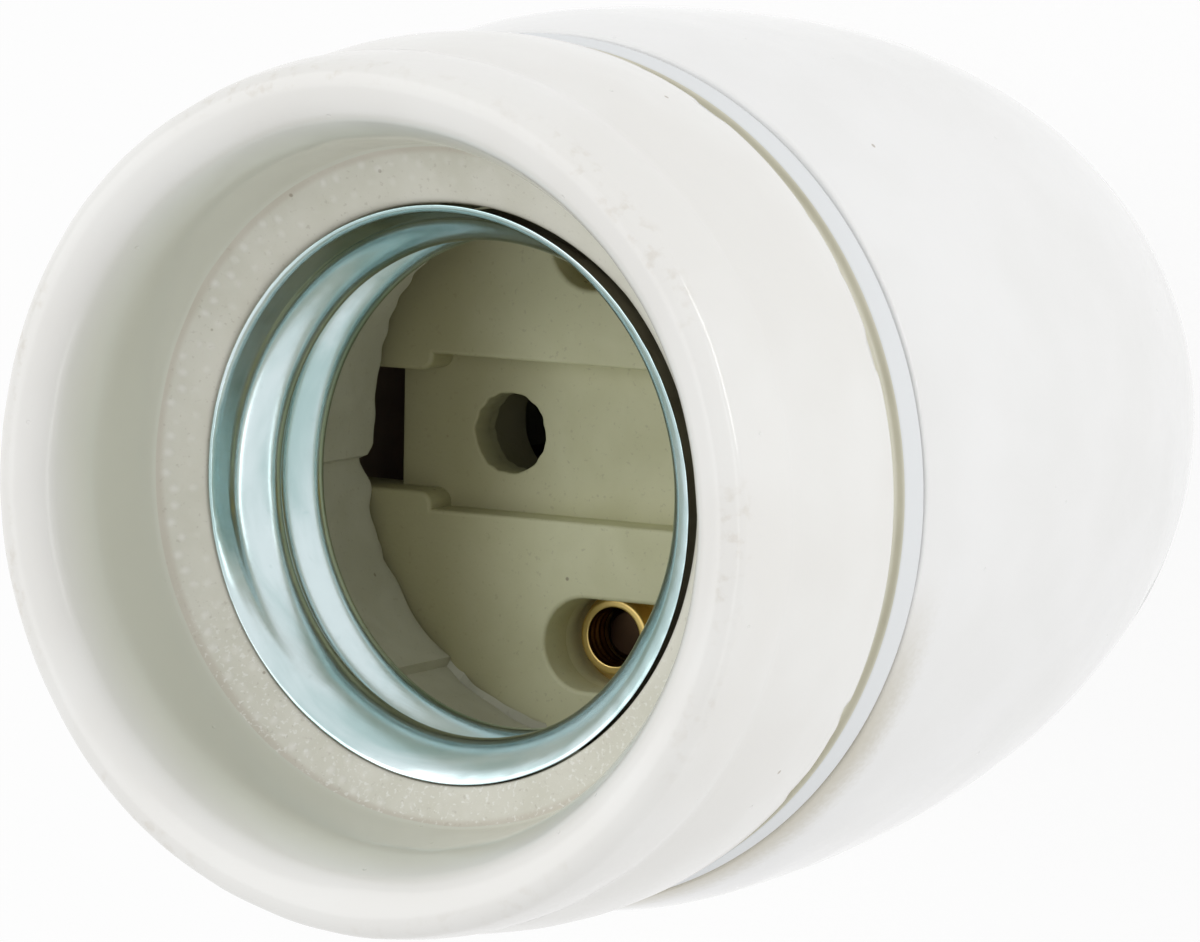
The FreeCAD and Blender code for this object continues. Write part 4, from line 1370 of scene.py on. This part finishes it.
@dataclass
class RearDome:
    """The egg-shaped body with its wiring room and the ribs that carry the insert."""

    mouth: Point = (21.75 * MM, 45.7 * MM)
    rim_r: float = 20.9 * MM
    shoulder: Point = (22.4 * MM, 42.5 * MM)
    widest: Point = (22.57 * MM, 40.0 * MM)
    flank: Point = (20.9 * MM, 20.0 * MM)
    hip: Point = (16.7 * MM, 6.9 * MM)
    end: Point = (11.2 * MM, 0.45 * MM)
    foot_r: float = 10.7 * MM
    recess: Point = (8.0 * MM, 1.2 * MM)
    bush_r: float = 6.2 * MM
    floor: Point = (9.8 * MM, 5.6 * MM)
    room_hip: Point = (13.9 * MM, 10.1 * MM)
    room_flank: Point = (15.9 * MM, 18.0 * MM)
    room: Point = (17.9 * MM, 33.0 * MM)
    bore_r: float = 17.18 * MM
    bore_z: float = 39.3 * MM
    bore_lead: float = 0.7 * MM
    plain_z: float = 0.5 * MM
    plain_fade: float = 4 * MM
    plain_zone: float = 0.3 * MM
    rib_foot: float = 16.0 * MM
    rib_root: float = 18.2 * MM
    rib_edge: float = 0.2 * MM
    rest_rib: Triple = (14.9 * MM, 4.6 * MM, 36.0 * MM)
    key_rib: Triple = (15.6 * MM, 4.4 * MM, 30.0 * MM)

    def profile(self) -> Profile:
        """Half section of the dome.

        Returns:
            The closed half section.
        """
        glaze, bare = Skin.DOME_GLAZE, Skin.RING_BISQUE
        outline = Profile(self.bore_r, self.mouth[1], soft=0.2 * MM)
        outline.line(self.rim_r, self.mouth[1], bare)
        outline.line(*self.mouth, glaze, soft=0.15 * MM)
        outline.curve(self.shoulder, self.widest, glaze, steps=12)
        for corner, steps in ((self.flank, 30), (self.hip, 24), (self.end, 24)):
            outline.smooth(corner, glaze, steps=steps)
        outline.line(self.foot_r, 0.0, bare, soft=0.2 * MM)
        outline.line(self.recess[0], 0.0, bare, soft=0.2 * MM)
        outline.line(*self.recess, bare)
        outline.line(self.bush_r, self.recess[1], bare, soft=0.1 * MM)
        outline.line(self.bush_r, self.floor[1], bare, soft=0.1 * MM)
        outline.line(*self.floor, bare, soft=1.5 * MM)
        outline.line(*self.room_hip, bare, soft=2.0 * MM)
        outline.line(*self.room_flank, bare, soft=2.0 * MM)
        # the room's upper wall carries painted shade
        outline.line(*self.room, Skin.ROOM_BISQUE)
        outline.line(self.room[0], self.bore_z - self.bore_lead, Skin.ROOM_BISQUE, soft=0.1 * MM)
        outline.line(self.bore_r, self.bore_z, bare, soft=0.1 * MM)
        return outline.close(bare)

    def shape(self, angle: np.ndarray, radius: np.ndarray,
              height: np.ndarray) -> tuple[np.ndarray, np.ndarray]:
        """Give the outside the slight unevenness of a cast and dipped body.

        Args:
            angle: Angles round the lamp axis.
            radius: Radii of the plain piece.
            height: Heights of the plain piece.

        Returns:
            Radii and heights of the finished piece.
        """
        x, y = radius * np.cos(angle), radius * np.sin(angle)
        wave = Ripple(seed=31, height=0.04 * MM, size=18 * MM).at(x, y, height)
        small = Ripple(seed=33, height=0.010 * MM, size=4 * MM).at(x, y, height)
        outside = radius > self.room[0] + self.plain_zone
        fade = np.clip((height - self.plain_z) / self.plain_fade, 0, 1) * outside
        return radius + fade * (wave + small), height

    def ribs(self) -> list[bpy.types.Object]:
        """The four ribs under the insert and the two that key it.

        Returns:
            The ribs.
        """
        made = []
        for (inner, width, top), turns in ((self.rest_rib, (45, 135, 225, 315)),
                                           (self.key_rib, (0, 180))):
            for turn in turns:
                corners = ((inner, -width / 2), (self.rib_root, -width / 2),
                           (self.rib_root, width / 2), (inner, width / 2))
                rib = cut_slab(f"rib_{turn}", corners, (), self.rib_foot, top, self.rib_edge,
                               Skin.RING_BISQUE)
                rib.data.transform(Matrix.Rotation(math.radians(turn), 4, "Z"))
                made.append(rib)
        return made

    def build(self) -> bpy.types.Object:
        """Build the dome and seat it.

        Returns:
            The dome.
        """
        shell = turned("dome_shell", self.profile(), spokes=360, step=0.7 * MM, shaping=self.shape)
        dome = joined("rear_dome_body", [shell, *self.ribs()])
        seat(dome, "dome", "dome_porcelain", "rear_dome")
        return dome


# ---------------------------------------------------------------- insert and terminals


@dataclass(frozen=True)
class PlateShape:
    """Outline of a terminal plate: a cut-off corner, and an arm across the channel."""

    side: int
    left: float = -4.2 * MM
    right: float = 11.2 * MM
    near: float = 7.2 * MM
    far: float = 13.2 * MM
    hip: float = 9.0 * MM
    waist: float = 5.2 * MM
    feed_arm: Point = (10.0 * MM, 12.9 * MM)
    dead_arm: Point = (4.9 * MM, 8.4 * MM)
    reach: float = 2.3 * MM

    def outline(self, gap: float = 0.0) -> list[Point]:
        """Corners of the plate.

        Args:
            gap: How much the outline is grown, for the recess that takes the plate.

        Returns:
            The corners, in turn.
        """
        arm_left, arm_right = self.feed_arm if self.side < 0 else self.dead_arm
        near, end = self.near - gap, -self.reach - gap
        points = [(self.left - gap, near), (arm_left - gap, near), (arm_left - gap, end),
                  (arm_right + gap, end), (arm_right + gap, near)]
        if self.side > 0:
            points.append((self.right + gap, near))
        points += [(self.right + gap, self.hip + gap), (self.waist + gap, self.far + gap),
                   (self.left - gap, self.far + gap)]
        return [(x, y * self.side) for x, y in points]


@dataclass
class Insert:
    """The bare ceramic insert: two cheeks, the channel between them and the terminal slots."""

    centre_y: float
    face_z: float
    back_z: float
    flange_z: float = 36.0 * MM
    floor_z: float = 37.6 * MM
    flange_r: float = 16.5 * MM
    block_r: float = 14.4 * MM
    channel_half: float = 3.97 * MM
    nib_half: float = 3.08 * MM
    nib_x: float = 10.15 * MM
    nib_round: float = 0.75 * MM
    notch_x: float = 13.1 * MM
    hole_x: float = 6.7 * MM
    hole_r: float = 2.05 * MM
    slot_x: float = -0.95 * MM
    slot_end_x: float = 4.6 * MM
    slot_y: float = 10.15 * MM
    slot_r: float = 2.35 * MM
    rivet: Point = (8.8 * MM, 8.9 * MM)
    rivet_hole_r: float = 1.6 * MM
    recess_z: float = 35.6 * MM
    plate_gap: float = 0.25 * MM
    overlap: float = 0.3 * MM
    hollow_r: float = 3.1 * MM
    slot_gap: float = 0.04 * MM
    chip: float = 0.035 * MM
    sharp_edge: float = 0.03 * MM
    floor_edge: float = 0.12 * MM
    face_edge: float = 0.22 * MM

    @property
    def end_x(self) -> float:
        """Where the line of the nibs meets the flange's round edge."""
        return math.sqrt(self.flange_r ** 2 - self.nib_half ** 2)

    def slot(self, side: int, gap: float = 0.0) -> list[Point]:
        """Outline of a terminal slot, on one side of the channel.

        Args:
            side: -1 or 1, the side of the channel.
            gap: How much the outline is grown.

        Returns:
            The corners, in turn.
        """
        y, reach = self.slot_y * side, self.slot_r + gap
        right = arc((self.slot_end_x, y - reach), (self.slot_end_x + reach, y),
                    (self.slot_end_x, y + reach), steps=20)
        left = arc((self.slot_x, y + reach), (self.slot_x - reach, y),
                   (self.slot_x, y - reach), steps=20)
        return [*right, (self.slot_x, y + reach), *left, (self.slot_end_x, y - reach)]

    def cheek(self, side: int) -> list[Point]:
        """Outline of the raised face on one side of the channel.

        Args:
            side: -1 or 1, the side of the channel.

        Returns:
            The corners, in turn.
        """
        bend = self.nib_round * (1 - math.sqrt(0.5))
        points = [(-self.end_x, self.nib_half), (-self.nib_x - self.nib_round, self.nib_half)]
        points += arc(points[-1], (-self.nib_x - bend, self.nib_half + bend),
                      (-self.nib_x, self.nib_half + self.nib_round), steps=6)
        points.append((-self.nib_x, self.channel_half))
        points += [(-x, y) for x, y in reversed(points)]
        points += arc(points[-1], (0.0, self.flange_r), points[0], steps=72)[:-1]
        return [(x, y * side) for x, y in points]

    def flange(self) -> list[Point]:
        """Outline of the flange with its two through notches.

        Returns:
            The corners, in turn.
        """
        points = [(self.notch_x, -self.nib_half), (self.notch_x, self.nib_half),
                  (self.end_x, self.nib_half)]
        points += arc(points[-1], (0.0, self.flange_r), (-self.end_x, self.nib_half), steps=72)
        return points + [(-x, -y) for x, y in points]

    def block(self) -> list[Point]:
        """Outline of the block under the flange, flat where the notches pass.

        Returns:
            The corners, in turn.
        """
        reach_y = math.sqrt(self.block_r ** 2 - self.notch_x ** 2)
        points = [(self.notch_x, -reach_y), (self.notch_x, reach_y)]
        points += arc(points[-1], (0.0, self.block_r), (-self.notch_x, reach_y), steps=72)
        return points + [(-x, -y) for x, y in points[2:-1]]

    def build(self) -> bpy.types.Object:
        """Build the insert and seat it.

        Returns:
            The insert.
        """
        skin = Skin.INSERT_BISQUE
        chips = Ripple(seed=41, height=self.chip, size=0.8 * MM)
        holes = []
        for end in (-1, 1):
            hole = np.array(circle((0.0, 0.0), 1.0))
            ragged = self.hole_r + chips.at(hole[:, 0] * self.hole_r, hole[:, 1] * self.hole_r, 0.0)
            hole = hole * ragged[:, None] + (self.hole_x * end, 0.0)
            holes.append([tuple(point) for point in hole.tolist()])
        slots = [self.slot(side, self.slot_gap) for side in (-1, 1)]
        recesses = [PlateShape(side).outline(self.plate_gap) for side in (-1, 1)]
        parts = [cut_slab("flange", self.flange(), holes + slots, self.flange_z, self.floor_z,
                          self.floor_edge, skin),
                 cut_slab("block_top", self.block(), holes + slots, self.recess_z,
                          self.flange_z + self.overlap, self.sharp_edge, skin),
                 cut_slab("block", self.block(),
                          [circle((-self.hole_x, 0.0), self.hollow_r), *recesses],
                          self.back_z, self.recess_z + self.sharp_edge, self.sharp_edge, skin)]
        for side in (-1, 1):
            rivet_hole = circle((self.rivet[0], self.rivet[1] * side), self.rivet_hole_r, steps=40)
            parts.append(cut_slab(f"cheek_{side}", self.cheek(side), [self.slot(side), rivet_hole],
                                  self.floor_z - self.overlap, self.face_z, self.face_edge, skin))
        insert = joined("insert_body", parts)
        insert.data.transform(Matrix.Translation((0.0, self.centre_y, 0.0)))
        seat(insert, "dome", "bare_porcelain", "insert_block")
        return insert


@dataclass
class Terminal:
    """A brass plate with its drawn eyelet."""

    name: str
    side: int
    centre_y: float
    top_z: float = 35.6 * MM
    sheet: float = 1.0 * MM
    edge: float = 0.12 * MM
    eyelet: Point = (-0.75 * MM, 10.0 * MM)
    eyelet_r: float = 1.95 * MM
    eyelet_bore: float = 1.5 * MM
    eyelet_z: float = 37.0 * MM
    eyelet_root: float = 0.3 * MM
    thread_pitch: float = 0.5 * MM
    thread_depth: float = 0.07 * MM
    eyelet_edge: float = 0.14 * MM
    eyelet_lead: float = 0.08 * MM

    def plate(self) -> bpy.types.Object:
        """The plate with its arm.

        Returns:
            The plate.
        """
        eye = circle((self.eyelet[0], self.eyelet[1] * self.side), self.eyelet_bore, steps=48)
        return cut_slab("plate", PlateShape(self.side).outline(), [eye], self.top_z - self.sheet,
                        self.top_z, self.edge, Skin.BRASS)

    def thread(self, angle: np.ndarray, radius: np.ndarray,
               height: np.ndarray) -> tuple[np.ndarray, np.ndarray]:
        """Cut the clamp screw's thread into the eyelet's bore.

        Args:
            angle: Angles round the lamp axis.
            radius: Radii of the plain piece.
            height: Heights of the plain piece.

        Returns:
            Radii and heights of the finished piece.
        """
        turn = np.cos(2 * math.pi * height / self.thread_pitch + angle)
        run_out = np.clip((self.eyelet_z - height) / self.thread_pitch, 0, 1)
        inside = radius < self.eyelet_bore + TOUCH
        return radius + np.where(inside, self.thread_depth * turn * run_out, 0.0), height

    def collar(self) -> bpy.types.Object:
        """The drawn eyelet, with the thread that the clamp screw bites into.

        Returns:
            The eyelet.
        """
        low = self.top_z - self.eyelet_root
        outline = Profile(self.eyelet_bore, low)
        outline.line(self.eyelet_r, low, Skin.BRASS)
        outline.line(self.eyelet_r, self.eyelet_z, Skin.BRASS, soft=self.eyelet_edge)
        outline.line(self.eyelet_bore, self.eyelet_z, Skin.BRASS, soft=self.eyelet_lead)
        outline.close(Skin.BRASS_BORE)
        ring = turned("eyelet", outline, spokes=96, step=0.06 * MM, shaping=self.thread)
        ring.data.transform(Matrix.Translation((self.eyelet[0], self.eyelet[1] * self.side, 0.0)))
        return ring

    def build(self) -> bpy.types.Object:
        """Build the terminal and seat it.

        Returns:
            The terminal.
        """
        terminal = joined(self.name + "_brass", [self.plate(), self.collar()])
        terminal.data.transform(Matrix.Translation((0.0, self.centre_y, 0.0)))
        seat(terminal, "dome", "terminal_brass", self.name)
        return terminal


# ---------------------------------------------------------------- pipe entry


@dataclass
class EntryBush:
    """The bush with the pipe thread."""

    low: float
    high: float
    bore_r: float = 4.46 * MM
    pitch: float = 1.0 * MM
    groove: float = 0.5 * MM
    groove_level: float = 1.3
    groove_slope: float = 5.2
    lead: float = 0.6 * MM
    run_in: float = 0.5 * MM
    run_in_fade: float = 0.4 * MM
    body_r: float = 6.1 * MM
    flange_r: float = 7.9 * MM
    flange: float = 1.1 * MM

    def shape(self, angle: np.ndarray, radius: np.ndarray,
              height: np.ndarray) -> tuple[np.ndarray, np.ndarray]:
        """Cut the pipe thread into the bore.

        Args:
            angle: Angles round the lamp axis.
            radius: Radii of the plain piece.
            height: Heights of the plain piece.

        Returns:
            Radii and heights of the finished piece.
        """
        phase = (height / self.pitch - angle / (2 * math.pi)) % 1.0
        level = self.groove_level - np.abs(phase - 0.5) * self.groove_slope
        groove = np.clip(level, 0, 1) * self.groove
        run_in = np.clip((height - self.low - self.run_in) / self.run_in_fade, 0, 1)
        inside = radius < self.bore_r + 2 * TOUCH
        return radius + np.where(inside, groove * run_in, 0.0), height

    def build(self) -> bpy.types.Object:
        """Build the bush and seat it.

        Returns:
            The bush.
        """
        skin = Skin.STEEL
        top = self.low + self.flange
        outline = Profile(self.bore_r + self.lead, self.low, soft=0.05 * MM)
        outline.line(self.flange_r, self.low, skin, soft=0.25 * MM)
        outline.line(self.flange_r, top, skin, soft=0.1 * MM)
        outline.line(self.body_r, top, skin)
        outline.line(self.body_r, self.high, skin, soft=0.3 * MM)
        outline.line(self.bore_r, self.high, skin, soft=0.1 * MM)
        outline.line(self.bore_r, self.low + self.lead, skin)
        outline.close(skin)
        bush = turned("entry_bush_threaded", outline, spokes=144, step=0.1 * MM, shaping=self.shape)
        seat(bush, "dome", "zinc_steel", "entry_bush")
        return bush


# ---------------------------------------------------------------- studio


@dataclass(frozen=True)
class Softbox:
    """A soft lamp that shines towards the part."""

    name: str
    place: Triple
    width: float
    height: float
    power: float

    def build(self, aim: Vector) -> None:
        """Place the lamp and point it.

        Args:
            aim: The point that it shines at.
        """
        light = bpy.data.lights.new(self.name, "AREA")
        light.shape = "RECTANGLE"
        light.size, light.size_y = self.width, self.height
        light.energy = self.power
        lamp = bpy.data.objects.new(self.name, light)
        lamp.location = self.place
        lamp.rotation_euler = (aim - Vector(self.place)).to_track_quat("-Z", "Y").to_euler()
        bpy.context.scene.collection.objects.link(lamp)


@dataclass
class Studio:
    """Pale floor, plain soft light and the camera."""

    camera_place: Triple = (0.202707, 0.046637, 0.382262)
    camera_aim: Triple = (-0.005868, -0.001964, 0.030)
    camera_roll: float = math.radians(1.007)
    lens: float = 240.0
    sensor: float = 36.0
    clip: Point = (0.01, 20.0)
    ambient: float = 0.72
    floor_size: float = 3.0
    floor_drop: float = 0.5 * MM
    floor_colour: Colour = (0.9, 0.9, 0.9)
    floor_glow: float = 0.9
    softboxes: tuple[Softbox, ...] = (
        Softbox("key", (-0.52, 0.28, 0.72), width=0.8, height=0.8, power=2.3),
        Softbox("window", (0.82, -0.10, 0.36), width=1.2, height=0.1, power=0.75),
        Softbox("side", (0.74, 0.38, 0.02), width=0.5, height=0.08, power=1.35))

    @staticmethod
    def seen(tree: bpy.types.NodeTree) -> bpy.types.NodeSocket:
        """Add a mask that is 1 for what the camera sees directly, mirrored or through glass.

        Args:
            tree: Node tree to add it to.

        Returns:
            The mask's socket.
        """
        path = tree.nodes.new("ShaderNodeLightPath")
        total = path.outputs["Is Camera Ray"]
        for name in ("Is Glossy Ray", "Is Transmission Ray"):
            either = tree.nodes.new("ShaderNodeMath")
            either.operation = "MAXIMUM"
            tree.links.new(total, either.inputs[0])
            tree.links.new(path.outputs[name], either.inputs[1])
            total = either.outputs[0]
        return total

    @staticmethod
    def blend(tree: bpy.types.NodeTree, share: bpy.types.NodeSocket, plain: bpy.types.Node,
              bright: bpy.types.Node, output: bpy.types.Node) -> None:
        """Join the shader that lights the part with the one that is seen.

        Args:
            tree: Node tree of both.
            share: Share of the one that is seen.
            plain: The shader that lights the part.
            bright: The shader that is seen.
            output: The tree's output node.
        """
        mix = tree.nodes.new("ShaderNodeMixShader")
        for source, target in zip((share, plain.outputs[0], bright.outputs[0]), mix.inputs):
            tree.links.new(source, target)
        tree.links.new(mix.outputs[0], output.inputs["Surface"])

    def world(self) -> None:
        """White surroundings that light the part evenly."""
        world = bpy.data.worlds.new("studio")
        world.use_nodes = True
        tree = world.node_tree
        tree.nodes.clear()
        output = tree.nodes.new("ShaderNodeOutputWorld")
        light, white = (tree.nodes.new("ShaderNodeBackground") for _ in range(2))
        for node, strength in ((light, self.ambient), (white, 1.0)):
            node.inputs["Color"].default_value = WHITE
            node.inputs["Strength"].default_value = strength
        self.blend(tree, self.seen(tree), light, white, output)
        bpy.context.scene.world = world

    def floor(self) -> None:
        """A pale floor under the part, white where it is seen."""
        half = self.floor_size / 2
        mesh = bpy.data.meshes.new("floor")
        mesh.from_pydata([(-half, -half, 0), (half, -half, 0), (half, half, 0), (-half, half, 0)],
                         [], [(0, 1, 2, 3)])
        material = bpy.data.materials.new("pale_floor")
        material.use_nodes = True
        tree = material.node_tree
        tree.nodes.clear()
        output = tree.nodes.new("ShaderNodeOutputMaterial")
        matt = tree.nodes.new("ShaderNodeBsdfDiffuse")
        matt.inputs["Color"].default_value = (*self.floor_colour, 1.0)
        glow = tree.nodes.new("ShaderNodeEmission")
        share = tree.nodes.new("ShaderNodeMath")
        share.operation = "MULTIPLY"
        tree.links.new(self.seen(tree), share.inputs[0])
        share.inputs[1].default_value = self.floor_glow
        self.blend(tree, share.outputs[0], matt, glow, output)
        mesh.materials.append(material)
        floor = bpy.data.objects.new("floor", mesh)
        floor.location.z = -self.floor_drop
        bpy.context.scene.collection.objects.link(floor)
        floor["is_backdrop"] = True

    def camera(self) -> None:
        """Set up the camera, and tilt it by its roll."""
        data = bpy.data.cameras.new("camera")
        data.lens = self.lens
        data.sensor_width = self.sensor
        data.clip_start, data.clip_end = self.clip
        camera = bpy.data.objects.new("camera", data)
        way = Vector(self.camera_aim) - Vector(self.camera_place)
        right = way.cross(Vector((0, 1, 0))).normalized()
        up = right.cross(way).normalized()
        turn = Matrix((right, up, -way.normalized())).transposed()
        roll = Matrix.Rotation(-self.camera_roll, 3, way.normalized())
        camera.matrix_world = Matrix.Translation(self.camera_place) @ (roll @ turn).to_4x4()
        bpy.context.scene.collection.objects.link(camera)
        bpy.context.scene.camera = camera

    def build(self) -> None:
        """Set everything up."""
        low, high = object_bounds()
        aim = (Vector(low) + Vector(high)) / 2
        self.world()
        self.floor()
        self.camera()
        for softbox in self.softboxes:
            softbox.build(aim)
        bpy.context.scene.view_settings.view_transform = "Standard"


# ---------------------------------------------------------------- all together


def dress_frame() -> None:
    """Give the CAD nodes that stay their finishes."""
    finishes = {"clamp_screw": Skin.OLD_STEEL, "clamp_washer": Skin.STEEL,
                "terminal_rivet": Skin.BRASS, "spring_rivet": Skin.BRASS,
                "side_contact_spring": Skin.BRASS, "bush_washer": Skin.STEEL,
                "bush_nut": Skin.STEEL, "pipe_lock_screw": Skin.STEEL}
    for name, node in frame["nodes"].items():
        for ending, skin in finishes.items():
            if name.endswith(ending):
                node.data.materials.clear()
                node.data.materials.append(skin.material())
                log.info("%s: %s", name, skin.name)


def mount_height(name: str) -> float:
    """Height of one of the record's mounts.

    Args:
        name: The mount's name.

    Returns:
        Its height in the part's frame.
    """
    mounts = {mount["name"]: mount for mount in frame["record"]["mounts"]}
    return mounts[name]["pos_m"][2]


def main() -> None:
    """Build the lamp holder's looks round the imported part."""
    logging.basicConfig(level=logging.INFO, format="%(message)s")
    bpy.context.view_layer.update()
    seal_low, seal_high = (corner.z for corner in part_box("seal_ring"))
    insert_low, insert_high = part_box("insert_block")
    centre_y = (insert_low.y + insert_high.y) / 2
    bush_low, bush_high = (corner.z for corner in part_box("entry_bush"))

    dress_frame()
    FrontRing(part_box("front_ring")[1].z).build()
    ThreadedShell(mount_height("lamp_socket")).build()
    SealRing(seal_low, seal_high).build()
    RearDome().build()
    Insert(centre_y, insert_high.z, insert_low.z).build()
    Terminal("lower_terminal", -1, centre_y).build()
    Terminal("upper_terminal", 1, centre_y).build()
    EntryBush(bush_low, bush_high).build()
    Studio().build()


if __name__ == "__main__":
    main()
